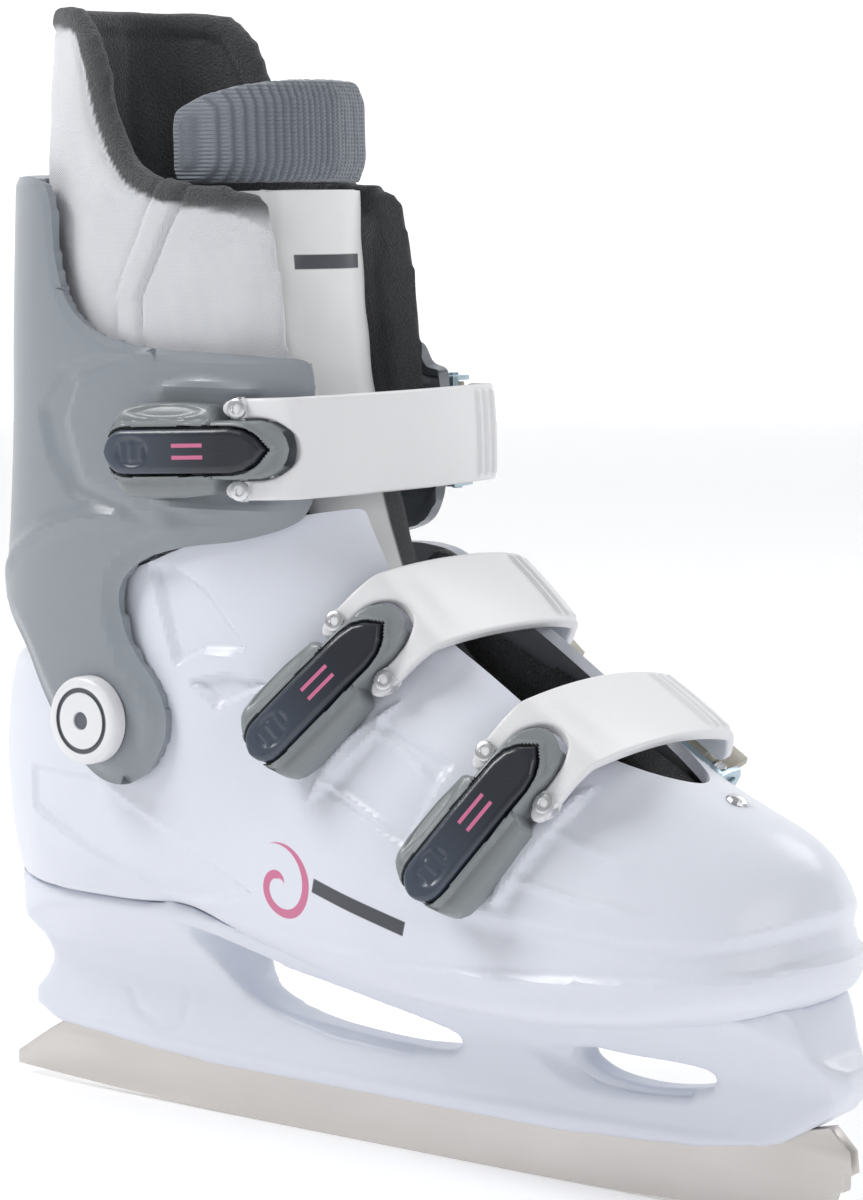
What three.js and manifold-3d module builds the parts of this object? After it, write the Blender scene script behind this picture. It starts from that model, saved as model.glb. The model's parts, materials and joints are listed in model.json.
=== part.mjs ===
// A hard-shell recreational ice skate for the right foot, as an assembly of separate pieces.
// Millimetres. The origin is the middle of the blade's flat running edge.
// +X points to the toe, +Y to the inner side of the foot, -Y to the outer side, +Z up.
import * as THREE from 'three';
import { mergeVertices } from 'three/addons/utils/BufferGeometryUtils.js';
import Module from 'manifold-3d';

const wasm = await Module();
wasm.setup();

// ---- driving dimensions ---------------------------------------------------------------
const bootLength = 281;       // moulded shell, heel to toe
const ballWidth = 95;         // shell width at the ball of the foot
const ankleWidth = 80;        // shell width at the ankle
const ballHeight = 48;        // underside of the shell at the ball, above the ice
const heelRise = 18;          // how much higher the heel's underside is
const cuffHeight = 270;       // top of the cuff's high back
const spoilerHeight = 320;    // top of the liner's padded back
const shellWall = 3;
const shellFloor = 5;
const cuffWall = 3;
const linerWall = 6;
const gap = 0.35;             // between pieces that touch
const slideGap = 2;           // between the cuff and what it slides over

const bladeLength = bootLength + 10;
const bladeThickness = 4;
const bladeDepth = 24;        // height of the steel, with the part inside the holder
const runningFlat = 60;       // straight middle of the running edge
const rockerRadius = 2100;
const toePicks = 5;

const pivotAlong = 65.5;      // ankle hinge of the cuff, from the heel's back
const pivotUp = 72;           // and over the underside of the ball
const pivotRadius = 4;
const capRadius = 12.3;
const heelArc = 47;           // round back of the shell inside the cuff, about the hinge
const leanForward = 8;        // degrees

const leverLength = 57;
const leverHalf = 13;         // half width over the tail's cheeks
const leverNose = 7.8;        // half width between the strap's arms
const leverTop = 10;
const leverStandOff = 1;
const pinAlong = leverLength - 15;
const pinUp = 4.8;
const pinRadius = 1.3;
const hingeAlong = leverLength - 7;
const hingeUp = 3;
const buttonHalf = leverNose - 1.8;
const buttonLength = leverLength - 9;
const buttonTop = leverTop + 2.6;

const forkHalf = leverNose + 0.5;
const strapHalf = forkHalf + 5.3;
const strapThickness = 3;
const forkDepth = 16.5;       // from the pin to the bottom of the fork
const catchHalf = strapHalf - 1.4;
const catchReach = 11;        // height of the release lever over its pin

// ---- materials ------------------------------------------------------------------------
function finish(color, roughness, metalness) {
  return new THREE.MeshStandardMaterial({ color, roughness, metalness });
}

const shellWhite = finish(0xe4e4ec, 0.35, 0);
const strapWhite = finish(0xf0f0f2, 0.4, 0);
const cuffGrey = finish(0xa9aeb2, 0.4, 0);
const leverGrey = finish(0x9ea1a0, 0.35, 0);
const slateBlack = finish(0x3a4047, 0.3, 0);
const linerWhite = finish(0xe6e6ea, 0.5, 0);
const fleeceGrey = finish(0x5a5b5c, 0.95, 0);
const vinylWhite = finish(0xebecec, 0.25, 0);
const bladeSteel = finish(0xb8b3a8, 0.3, 1);
const zincSteel = finish(0xa6bfc9, 0.3, 1);
const rivetSteel = finish(0xc4c6c8, 0.25, 1);
const smokedPlastic = finish(0xa69f99, 0.4, 0);

// ---- solids and meshes ----------------------------------------------------------------
function solid(geometry) {
  const bare = geometry.clone();
  bare.deleteAttribute('normal');
  bare.deleteAttribute('uv');
  const merged = mergeVertices(bare, 1e-4);
  const vertProperties = new Float32Array(merged.attributes.position.array);
  const triVerts = new Uint32Array(merged.index.array);
  return new wasm.Manifold(new wasm.Mesh({ numProp: 3, vertProperties, triVerts }));
}

function geometryOf(manifold) {
  const mesh = manifold.getMesh();
  const geometry = new THREE.BufferGeometry();
  geometry.setAttribute('position', new THREE.BufferAttribute(new Float32Array(mesh.vertProperties), 3));
  geometry.setIndex(new THREE.BufferAttribute(new Uint32Array(mesh.triVerts), 1));
  geometry.computeVertexNormals();
  return geometry;
}

const skate = new THREE.Group();

function place(parent, name, body, material) {
  const geometry = body.isBufferGeometry ? body : geometryOf(body);
  const mesh = new THREE.Mesh(geometry, material);
  mesh.name = name;
  parent.add(mesh);
  return mesh;
}

function box(x0, x1, y0, y1, z0, z1) {
  const geometry = new THREE.BoxGeometry(x1 - x0, y1 - y0, z1 - z0);
  return solid(geometry.translate((x0 + x1) / 2, (y0 + y1) / 2, (z0 + z1) / 2));
}

// a round bar along Y, from y0 to y1
function barY(radius, x, z, y0, y1, sides = 10) {
  const geometry = new THREE.CylinderGeometry(radius, radius, y1 - y0, sides);
  return solid(geometry.translate(x, (y0 + y1) / 2, z));
}

// a round bar along Z, from z0 to z1
function barZ(radius, x, y, z0, z1, sides = 12) {
  const geometry = new THREE.CylinderGeometry(radius, radius, z1 - z0, sides).rotateX(Math.PI / 2);
  return solid(geometry.translate(x, y, (z0 + z1) / 2));
}

function outline(points) {
  return new THREE.Shape(points.map(([x, y]) => new THREE.Vector2(x, y)));
}

// a smooth closed outline through a few points
function smoothOutline(points, steps = 40) {
  const knots = points.map(([x, y]) => new THREE.Vector3(x, y, 0));
  const curve = new THREE.CatmullRomCurve3(knots, true, 'centripetal');
  return outline(curve.getPoints(steps).slice(0, -1).map((p) => [p.x, p.y]));
}

// an outline in the XZ plane, given a width along Y
function sideProfile(shape, y0, y1) {
  const geometry = new THREE.ExtrudeGeometry(shape, { depth: y1 - y0, bevelEnabled: false });
  return solid(geometry.rotateX(Math.PI / 2).translate(0, y1, 0));
}

// an outline in the XY plane, given a height along Z
function planProfile(shape, z0, z1) {
  const geometry = new THREE.ExtrudeGeometry(shape, { depth: z1 - z0, bevelEnabled: false });
  return solid(geometry.translate(0, 0, z0));
}

// a closed body through rings of equal point counts
function loft(rings) {
  const count = rings[0].length;
  const position = rings.flat(2);
  const index = [];
  for (let r = 0; r + 1 < rings.length; r++) {
    for (let k = 0; k < count; k++) {
      const a = r * count + k;
      const b = r * count + ((k + 1) % count);
      index.push(a, b, a + count, b, b + count, a + count);
    }
  }
  const last = (rings.length - 1) * count;
  for (let k = 0; k + 1 < count / 2; k++) {
    const across = count - 1 - k;
    index.push(k + 1, k, across, across - 1, k + 1, across);
    index.push(last + k, last + k + 1, last + across, last + k + 1, last + across - 1, last + across);
  }
  const geometry = new THREE.BufferGeometry();
  geometry.setAttribute('position', new THREE.Float32BufferAttribute(position, 3));
  geometry.setIndex(index);
  return solid(geometry);
}

const shellSides = 20;      // points round a hard section
const softSides = 14;       // and round a padded one

// points of a squarish oval: half sizes a and b, squareness power
function oval(power, turn) {
  const c = Math.cos(turn);
  const s = Math.sin(turn);
  const bend = (v) => Math.sign(v) * Math.abs(v) ** (2 / power);
  return [bend(c), bend(s)];
}

// ---- boot shape -----------------------------------------------------------------------
// Foot sections stand across X: place along the boot, half width, underside, top.
// Half width is a share of the ball's, underside is measured from the ball's.
const bootBack = -bootLength / 2 + 1;
const pivotX = bootBack + pivotAlong;
const pivotZ = ballHeight + pivotUp;
const heelShare = heelRise / 18;
const footStations = [
  [0.055, 0.47, 18.5 * heelShare, 70],
  [0.11, 0.68, 18 * heelShare, 78],
  [0.2, 0.78, 18 * heelShare, 84],
  [0.3, 0.82, 16.5 * heelShare, 92],
  [0.39, 0.85, 9.5 * heelShare, 108],
  [0.5, 0.93, 3, 126],
  [0.57, 0.98, 1, 119],
  [0.66, 1, 0, 102],
  [0.75, 1, 1, 83],
  [0.83, 0.96, 3.5, 68],
  [0.89, 0.86, 6.5, 60.5],
  [0.94, 0.7, 9.5, 55],
  [0.975, 0.46, 12.5, 48],
  [0.994, 0.22, 16, 40],
].map(([along, half, low, high]) => ({
  along,
  x: bootBack + along * bootLength,
  half: (half * ballWidth) / 2,
  low: ballHeight + low,
  high: ballHeight + high,
}));

// the same sections moved in by a wall, with a floor
function footBody(wall, floor = wall, sides = shellSides) {
  const rings = footStations.map((s) => {
    const toeward = Math.max((s.along - 0.6) / 0.4, 0);
    const heelward = Math.max(1 - s.along / 0.25, 0);
    const low = s.low + floor;
    const high = Math.max(s.high - wall * 1.25, low + 2);
    const waist = low + (high - low) * 0.3;
    const half = Math.max(s.half - wall * (1 - 0.45 * toeward ** 8), 1.5);
    const ring = [];
    for (let k = 0; k < sides; k++) {
      const [c, sn] = oval(k * 2 < sides ? 1.8 : 3.2, (k / sides) * Math.PI * 2);
      ring.push([
        s.x - wall * 1.5 * toeward ** 2 + wall * heelward,
        half * c,
        waist + sn * (sn > 0 ? high - waist : waist - low),
      ]);
    }
    return ring;
  });
  return loft(rings);
}

// Leg sections lie across Z: height, back, front, half width.
function legBody(stations, wall, power = 2.25, sides = shellSides) {
  const rings = stations.map(([z, back, front, half]) => {
    const middle = (back + front) / 2;
    const reach = (front - back) / 2 - wall;
    const ring = [];
    for (let k = 0; k < sides; k++) {
      const [c, sn] = oval(power, (k / sides) * Math.PI * 2);
      ring.push([middle + reach * c, (half - wall) * sn, z]);
    }
    return ring;
  });
  return loft(rings);
}

const ankleHalf = ankleWidth / 2;
const heelLow = ballHeight + heelRise;
const heelStations = [
  [heelLow, bootBack + 8, bootBack + 95, ankleHalf - 9],
  [heelLow + 5, bootBack + 5, bootBack + 115, ankleHalf - 6.5],
  [heelLow + 18, bootBack + 2, bootBack + 140, ankleHalf - 3.5],
  [heelLow + 38, bootBack, bootBack + 155, ankleHalf - 2],
  [pivotZ, bootBack + 2, bootBack + 160, ankleHalf - 1.2],
  [pivotZ + 14, bootBack + 6, bootBack + 160, ankleHalf - 1],
];

function arcBack(z) {
  return pivotX - Math.sqrt(Math.max(heelArc ** 2 - (z - pivotZ) ** 2, 15 ** 2));
}

const ankleStations = [
  [pivotZ - 20, arcBack(pivotZ - 20), pivotX + 102, ankleHalf - 1],
  [pivotZ, arcBack(pivotZ), pivotX + 106, ankleHalf],
  [pivotZ + 15, arcBack(pivotZ + 15), pivotX + 106, ankleHalf],
  [pivotZ + 30, arcBack(pivotZ + 30), pivotX + 103, ankleHalf],
  [pivotZ + 44, pivotX - 34, pivotX + 96, ankleHalf],
  [pivotZ + 58, pivotX - 31, pivotX + 87, ankleHalf],
  [pivotZ + 72, pivotX - 28, pivotX + 81, ankleHalf],
];

function bootBody(wall, floor = wall, sides = shellSides) {
  const raised = heelStations.map(([z, b, f, h], i) => [i < 2 ? z + Math.max(floor, 0) : z, b, f, h]);
  return footBody(wall, floor, sides)
    .add(legBody(raised, wall, 2.25, sides))
    .add(legBody(ankleStations, wall, 2.25, sides));
}

// a point of the XZ plane, given from the ankle hinge
function fromPivot([x, z]) {
  return [pivotX + x, pivotZ + z];
}

// ---- shell ----------------------------------------------------------------------------
// The throat is the open slit over the instep, cut square to the instep's slope.
const throatFoot = new THREE.Vector3(bootBack + 0.845 * bootLength, 0, ballHeight + 62);
const throatHead = new THREE.Vector3(pivotX + 80, 0, pivotZ + 62);
const throatSlope = new THREE.Vector3().subVectors(throatFoot, throatHead).normalize();
const throatLength = throatFoot.distanceTo(throatHead);
const throatHalf = 22;

// a frame with local X down the instep, local Y across, local Z out of the instep
function instepMatrix() {
  const across = new THREE.Vector3(0, 1, 0);
  const out = new THREE.Vector3().crossVectors(throatSlope, across);
  return new THREE.Matrix4().makeBasis(throatSlope, across, out).setPosition(throatHead);
}

function throatCut(grow) {
  const half = throatHalf + grow;
  const end = throatLength + grow;
  const shape = smoothOutline([
    [-60, half], [0, half], [end * 0.45, half], [end * 0.8, half * 0.82], [end, 0],
    [end * 0.8, -half * 0.82], [end * 0.45, -half], [0, -half], [-60, -half],
  ], 48);
  const geometry = new THREE.ExtrudeGeometry(shape, { depth: 70, bevelEnabled: false });
  return solid(geometry.translate(0, 0, -26).applyMatrix4(instepMatrix()));
}

// everything above the shell's side edge, which climbs from the heel to the instep
function aboveShell(drop) {
  return sideProfile(outline([
    [-96, 26 - drop], [-26, 29 - drop], [12, 43 - drop], [46, 56 - drop], [82, 62 - drop],
    [134, 62 - drop], [134, 280], [-96, 280],
  ].map(fromPivot)), -90, 90);
}

const shellOuter = bootBody(0);
const shellOuterGrown = bootBody(-gap);
const shellInner = bootBody(shellWall, shellFloor);
let shell = shellOuter.subtract(shellInner).subtract(throatCut(0)).subtract(aboveShell(0));

// ---- blade ----------------------------------------------------------------------------
const bladeHalf = bladeLength / 2;

function rocker(x) {
  const past = Math.max(Math.abs(x) - runningFlat / 2, 0);
  return past ** 2 / (2 * rockerRadius);
}

function bladeOutline(grow) {
  const heelEdge = rocker(bladeHalf);
  const lower = [[-bladeHalf - grow, heelEdge + 4], [-bladeHalf - grow, heelEdge]];
  for (let x = -bladeHalf + 20; x < -runningFlat / 2; x += 20) lower.push([x, rocker(x)]);
  lower.push([-runningFlat / 2, 0], [runningFlat / 2, 0]);
  const pickStart = bladeHalf - 19;
  for (let x = runningFlat / 2 + 15; x < pickStart; x += 15) lower.push([x, rocker(x)]);
  const pickFoot = [pickStart, rocker(pickStart) + 1.5];
  const pickHead = [bladeHalf, rocker(bladeHalf) + 19];
  for (let p = 0; p <= toePicks; p++) {
    const t = p / toePicks;
    const bulge = 3.4 * Math.sin(Math.PI * t);
    const valley = [
      pickFoot[0] + (pickHead[0] - pickFoot[0]) * t + bulge,
      pickFoot[1] + (pickHead[1] - pickFoot[1]) * t - bulge,
    ];
    lower.push(valley);
    if (p < toePicks) lower.push([valley[0] + 2.4, valley[1] - 0.2]);
  }
  const upper = [
    [bladeHalf - 6, bladeDepth + 4 + grow], [bladeHalf - 22, bladeDepth + grow],
    [-bladeHalf + 28, bladeDepth + grow], [-bladeHalf + 14, heelEdge + 13 + grow],
  ];
  return outline(lower.concat(upper));
}

const bladeSide = bladeThickness / 2;
const blade = sideProfile(bladeOutline(0), -bladeSide, bladeSide);
// the slot in the holder, open below
const bladeSlot = sideProfile(outline([
  [-bladeHalf - 20, -10], [bladeHalf + 20, -10], [bladeHalf + 20, bladeDepth + 6],
  [bladeHalf - 6 + gap, bladeDepth + 4 + gap], [bladeHalf - 22 + gap, bladeDepth + gap],
  [-bladeHalf + 28 - gap, bladeDepth + gap], [-bladeHalf + 14 - gap, rocker(bladeHalf) + 13 + gap],
  [-bladeHalf - 20, rocker(bladeHalf) + 4 + gap],
]), -bladeSide - gap, bladeSide + gap);

// ---- blade holder ---------------------------------------------------------------------
const holderFoot = 14.5;      // lower edge of the holder over the ice
const beamTop = 31;           // upper edge of the beam under the windows
const holderSide = sideProfile(outline([
  [bootBack + 15, holderFoot + 5], [-0.65 * bladeHalf, holderFoot + 2], [-0.48 * bladeHalf, holderFoot + 0.5],
  [0.38 * bladeHalf, holderFoot], [bladeHalf - 45, holderFoot + 2.5], [bladeHalf - 19, holderFoot + 7.5],
  [bladeHalf - 2, holderFoot + 18], [bladeHalf + 1.5, holderFoot + 24], [bladeHalf + 1, holderFoot + 29],
  [bladeHalf - 5, ballHeight - 1], [bladeHalf - 9, ballHeight + 8], [bladeHalf - 12, ballHeight + 14],
  [0.41 * bladeHalf, ballHeight + 4], [0, ballHeight + 6], [-0.33 * bladeHalf, heelLow + 3],
  [bootBack + 10, heelLow + 3], [bootBack + 10, heelLow], [bootBack + 12, heelLow - 7],
  [bootBack + 15, heelLow - 20], [bootBack + 15, heelLow - 25], [bootBack + 11, heelLow - 31],
  [bootBack + 5, heelLow - 37], [bootBack + 5, heelLow - 42],
]), -60, 60);
const holderFront = new THREE.ExtrudeGeometry(outline([
  [-5.5, 0], [5.5, 0], [6.5, beamTop - 3], [8, beamTop + 7], [13, beamTop + 16], [21, beamTop + 24],
  [29, beamTop + 32], [31, beamTop + 60], [-31, beamTop + 60], [-29, beamTop + 32],
  [-21, beamTop + 24], [-13, beamTop + 16], [-8, beamTop + 7], [-6.5, beamTop - 3],
]), { depth: bladeLength + 60, bevelEnabled: false });
const holderWidth = solid(
  holderFront.rotateX(Math.PI / 2).rotateZ(Math.PI / 2).translate(-bladeHalf - 30, 0, 0),
);
// the two windows, with X as a share of half the blade
const alongBlade = ([share, z]) => [share * bladeHalf, z];
const rearWindow = sideProfile(smoothOutline([
  [-0.405, heelLow - 10], [-0.357, beamTop + 10], [-0.275, beamTop + 4], [-0.082, beamTop + 0.5],
  [0.069, beamTop], [0.158, beamTop + 1.5], [0.179, beamTop + 4.5], [0.124, beamTop + 7.5],
  [-0.041, beamTop + 13], [-0.234, beamTop + 20], [-0.371, heelLow - 7],
].map(alongBlade), 33), -60, 60);
const frontWindow = sideProfile(smoothOutline([
  [0.433, beamTop + 6.5], [0.474, beamTop + 2], [0.55, beamTop], [0.646, beamTop + 0.5],
  [0.728, beamTop + 3.5], [0.749, beamTop + 6.5], [0.687, beamTop + 8.5], [0.564, beamTop + 8.5],
  [0.467, beamTop + 8.8],
].map(alongBlade), 27), -60, 60);
const holderPlan = planProfile(smoothOutline([
  [bladeHalf + 3, 0], [bladeHalf - 6, 13], [bladeHalf - 34, 26], [40, 33], [-40, 31], [bootBack + 28, 26],
  [bootBack + 11, 17], [bootBack + 2, 0], [bootBack + 11, -17], [bootBack + 28, -26], [-40, -31], [40, -33],
  [bladeHalf - 34, -26], [bladeHalf - 6, -13],
], 42), 0, 120);
let holder = holderSide.intersect(holderWidth).intersect(holderPlan)
  .subtract(rearWindow).subtract(frontWindow).subtract(bladeSlot).subtract(shellOuterGrown);

// ---- screws that hold the blade holder to the shell ------------------------------------
const screwRadius = 2.2;
const screwHead = 4;
const screwHeadDepth = 2.2;
const screwLength = 18;
const screwSpots = [-0.715, -0.536, 0.33, 0.811].map((share) => share * bladeHalf);

function floorAt(x) {
  const next = footStations.findIndex((s) => s.x > x);
  const a = footStations[next - 1];
  const b = footStations[next];
  return a.low + ((b.low - a.low) * (x - a.x)) / (b.x - a.x) + shellFloor;
}

const screws = screwSpots.map((x) => {
  const top = floorAt(x) - 1;
  const seat = top - screwHeadDepth;
  const head = barZ(screwHead, x, 0, seat, top);
  const shank = barZ(screwRadius, x, 0, seat - screwLength, seat + 0.5);
  const hole = barZ(screwHead + gap, x, 0, seat - gap, top + 14)
    .add(barZ(screwRadius + gap, x, 0, seat - screwLength - gap, seat));
  return { body: head.add(shank), hole };
});
for (const { hole } of screws) {
  shell = shell.subtract(hole);
  holder = holder.subtract(hole);
}

// ---- liner and insole -----------------------------------------------------------------
const linerSpace = shellWall + 1.2;
const hingeDisc = (radius) => barY(radius, pivotX, pivotZ, -90, 90, 48);
const degrees = Math.PI / 180;

// a wedge about the ankle hinge, between two angles up from the toe direction
function hingeWedge(from, to, reach = 400) {
  const points = [[pivotX, pivotZ]];
  const steps = 8;
  for (let i = 0; i <= steps; i++) {
    const turn = (from + ((to - from) * i) / steps) * degrees;
    points.push([pivotX + reach * Math.cos(turn), pivotZ + reach * Math.sin(turn)]);
  }
  return sideProfile(outline(points), -90, 90);
}

const splitTurn = 35;                       // where the liner's foot and collar part, at the instep
const collarTurn = splitTurn + leanForward + 2;
const splitRadius = heelArc + 3;
const footZone = hingeDisc(splitRadius - 1).add(hingeWedge(-175, splitTurn));
const collarZone = hingeWedge(collarTurn, 178).subtract(hingeDisc(splitRadius));

const linerFloor = shellFloor + 0.8;
const linerSole = 3;
const linerFoot = bootBody(linerSpace, linerFloor, softSides)
  .subtract(bootBody(linerSpace + linerWall, linerFloor + linerSole, softSides))
  .subtract(throatCut(2))
  .subtract(aboveShell(1))
  .intersect(footZone);

const insoleThickness = 3.5;
const insoleLow = linerFloor + linerSole + 1;
const insole = footBody(linerSpace + linerWall + 1.5, insoleLow, softSides)
  .intersect(sideProfile(outline(
    footStations.map((s) => [s.x, s.low + insoleLow + insoleThickness])
      .concat([[footStations[footStations.length - 1].x, 0], [footStations[0].x, 0]]),
  ), -60, 60));

// ---- cuff -----------------------------------------------------------------------------
const cuffInside = ankleHalf + slideGap;
const cuffStations = [
  [pivotZ - 26, -56, 76, cuffInside + cuffWall],
  [pivotZ, -57, 79, cuffInside + cuffWall],
  [pivotZ + 28, -56.5, 83, cuffInside + cuffWall],
  [pivotZ + 52, -54, 86, cuffInside + cuffWall + 0.5],
  [(pivotZ + cuffHeight) / 2 + 5, -52, 87, cuffInside + cuffWall + 1],
  [cuffHeight - 43, -51, 86, cuffInside + cuffWall + 1.5],
  [cuffHeight + 3, -48.5, 83, cuffInside + cuffWall + 2],
].map(([z, back, front, half]) => [z, pivotX + back, pivotX + front, half]);
// the cuff's front corner stays over the ankle buckle, which moves less than the cuff's top
const cuffCorner = pivotZ + 79.4 + cuffHeight * 0.08;
const cuffRise = (share) => cuffCorner + share * (cuffHeight - cuffCorner);
// the cuff's side edge, with X from the ankle hinge, and the height of its front corner
const cuffSide = (front, corner) => sideProfile(smoothOutline([
  [front, corner], [front + 0.5, corner - 22], [front - 2, corner - 43], [front - 20, corner - 48],
  [33, pivotZ + 50], [16, pivotZ + 45], [8, pivotZ + 36], [12, pivotZ + 22], [22, pivotZ + 10],
  [25, pivotZ], [21, pivotZ - 10], [11, pivotZ - 18], [0, pivotZ - 17], [-12, pivotZ - 8],
  [-23, pivotZ + 5], [-32, pivotZ + 17], [-44, pivotZ + 27], [-60, pivotZ + 34],
  [-64, pivotZ + 90], [-63, cuffHeight - 2], [-38, cuffHeight], [-18, cuffHeight - 2],
  [-14, cuffRise(0.55)], [-9, cuffRise(0.306)], [2, cuffRise(0.143)], [22, cuffRise(0.061)],
  [49, cuffRise(0.041)], [front - 8, corner + 1],
].map(([x, z]) => [pivotX + x, z]), 60), -80, 80);
const halfSpace = (side) => box(-250, 150, Math.min(side * 90, 0), Math.max(side * 90, 0), 60, 400);
const cuffCut = cuffSide(70.5, cuffCorner).intersect(halfSpace(-1))
  .add(cuffSide(59, cuffCorner - 5).intersect(halfSpace(1)));
const cuffPower = 2.8;
const cuffOuter = legBody(cuffStations, 0, cuffPower);
const cuffOuterGrown = legBody(cuffStations, -gap, cuffPower);
const cuffInner = legBody(cuffStations.map(([z, b, f, h], i) => [
  i === 0 ? z - 20 : i === cuffStations.length - 1 ? z + 20 : z, b, f, h]), cuffWall, cuffPower);
let cuff = cuffOuter.subtract(cuffInner).intersect(cuffCut);

// ---- liner collar ---------------------------------------------------------------------
const collarStations = [
  [pivotZ + 20, -45, 73, ankleHalf - linerSpace],
  [pivotZ + 72, -45, 74, ankleHalf - linerSpace],
  [pivotZ + 88, -46, 75, ankleHalf],
  [(pivotZ + cuffHeight) / 2 + 40, -46, 73, ankleHalf + 0.8],
  [cuffHeight - 8, -44.5, 66, ankleHalf + 0.5],
  [cuffHeight + 20, -43, 56, ankleHalf - 0.5],
  [spoilerHeight, -40, 48, ankleHalf - 2],
].map(([z, back, front, half]) => [z, pivotX + back, pivotX + front, half]);
// the collar's side edge: a high padded back that falls to the front flaps
const collarSide = sideProfile(smoothOutline([
  [68, pivotZ + 20], [78, pivotZ + 60], [74, cuffHeight - 50], [71, cuffHeight - 32], [64, cuffHeight - 16],
  [48, cuffHeight - 4], [26, cuffHeight], [12, cuffHeight + 5], [3, cuffHeight + 18],
  [-3, spoilerHeight - 16], [-11, spoilerHeight - 4], [-30, spoilerHeight - 1], [-64, spoilerHeight - 4],
  [-68, pivotZ + 100], [-63, pivotZ + 10], [14, pivotZ],
].map(([x, z]) => [pivotX + x, z]), 48), -60, 60);
const collarInner = legBody(collarStations.map(([z, b, f, h], i) => [
  i === 0 ? z - 20 : i === collarStations.length - 1 ? z + 20 : z, b, f, h]), linerWall, 2.25, softSides);
const flapGap = 27;           // half the opening between the collar's front flaps
const tongueChannel = box(pivotX + 29, pivotX + 134, -flapGap, flapGap, pivotZ - 10, spoilerHeight + 30);
const linerCollar = legBody(collarStations, 0, 2.25, softSides)
  .subtract(collarInner)
  .intersect(collarSide)
  .intersect(collarZone)
  .subtract(tongueChannel);

// ---- tongue ---------------------------------------------------------------------------
// a point sunk a little under the straight line from the throat's toe end to the ankle's bend
function downThroat(share) {
  return [
    throatFoot.x - 12 + (pivotX + 103 - throatFoot.x + 12) * share,
    throatFoot.z - 13 + (pivotZ + 10 - throatFoot.z + 13) * share - 3.5,
  ];
}

// The front line of the tongue, from the toe end of the throat to its padded top.
const tongueFront = [
  [throatFoot.x - 12, throatFoot.z - 13], downThroat(0.42), downThroat(0.77),
  ...[[103, 10], [89, 23.5], [74, 42], [67, 62], [61, 77], [57, 92]].map(fromPivot),
  [pivotX + 54, (pivotZ + cuffHeight) / 2 + 45], [pivotX + 53, cuffHeight - 2],
  [pivotX + 52, cuffHeight + 28],
];
// bend radius round the shin and half the angle that it wraps, along the same line
const tongueBend = [26, 26, 26, 26, 26, 27, 28, 29, 30, 31.5, 32, 32];
const tongueWrap = [24, 32, 38, 42, 45, 47, 49, 52, 56, 62, 61.5, 61.5];
const tongueThickness = 6;

function between(list, t) {
  const slot = t * (list.length - 1);
  const low = Math.min(Math.floor(slot), list.length - 2);
  return list[low] + (list[low + 1] - list[low]) * (slot - low);
}

// first and last are shares of the line; wider is in degrees and fatter in mm
function tongueBody(first, last, steps, around = 8, wider = 0, fatter = 0) {
  const rings = [];
  const points = tongueFront.map(([x, z]) => new THREE.Vector3(x, 0, z));
  const line = new THREE.CatmullRomCurve3(points, false, 'centripetal');
  for (let i = 0; i <= steps; i++) {
    const t = first + ((last - first) * i) / steps;
    const at = line.getPoint(t);
    const along = line.getTangent(t);
    const back = new THREE.Vector3(-along.z, 0, along.x);
    if (back.x > 0) back.negate();
    const bend = between(tongueBend, t);
    const wrap = (between(tongueWrap, t) + wider) * degrees;
    const inner = bend - tongueThickness - fatter * Math.sin((Math.PI * i) / steps);
    const ring = [];
    for (let k = 0; k < around * 2; k++) {
      const outside = k < around;
      const share = outside ? k / (around - 1) : (2 * around - 1 - k) / (around - 1);
      const turn = wrap * (2 * share - 1);
      const radius = outside ? bend : inner;
      const depth = bend - radius * Math.cos(turn);
      ring.push([at.x + back.x * depth, radius * Math.sin(turn), at.z + back.z * depth]);
    }
    rings.push(ring);
  }
  return loft(rings);
}

const padStart = 10 / 11;
const padWider = 37;         // how much further the top pad wraps round the shin, each way
const tongueLower = tongueBody(0, 0.7, 10).intersect(hingeWedge(-60, splitTurn - 1));
const tongueUpper = tongueBody(0.3, padStart - 0.004, 10).intersect(hingeWedge(collarTurn, 178));
const tonguePad = tongueBody(padStart, 1, 4, 12, padWider, 2);

// ---- placing the main pieces ----------------------------------------------------------
const bootGroup = new THREE.Group();
const cuffGroup = new THREE.Group();
skate.add(bootGroup, cuffGroup);

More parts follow.
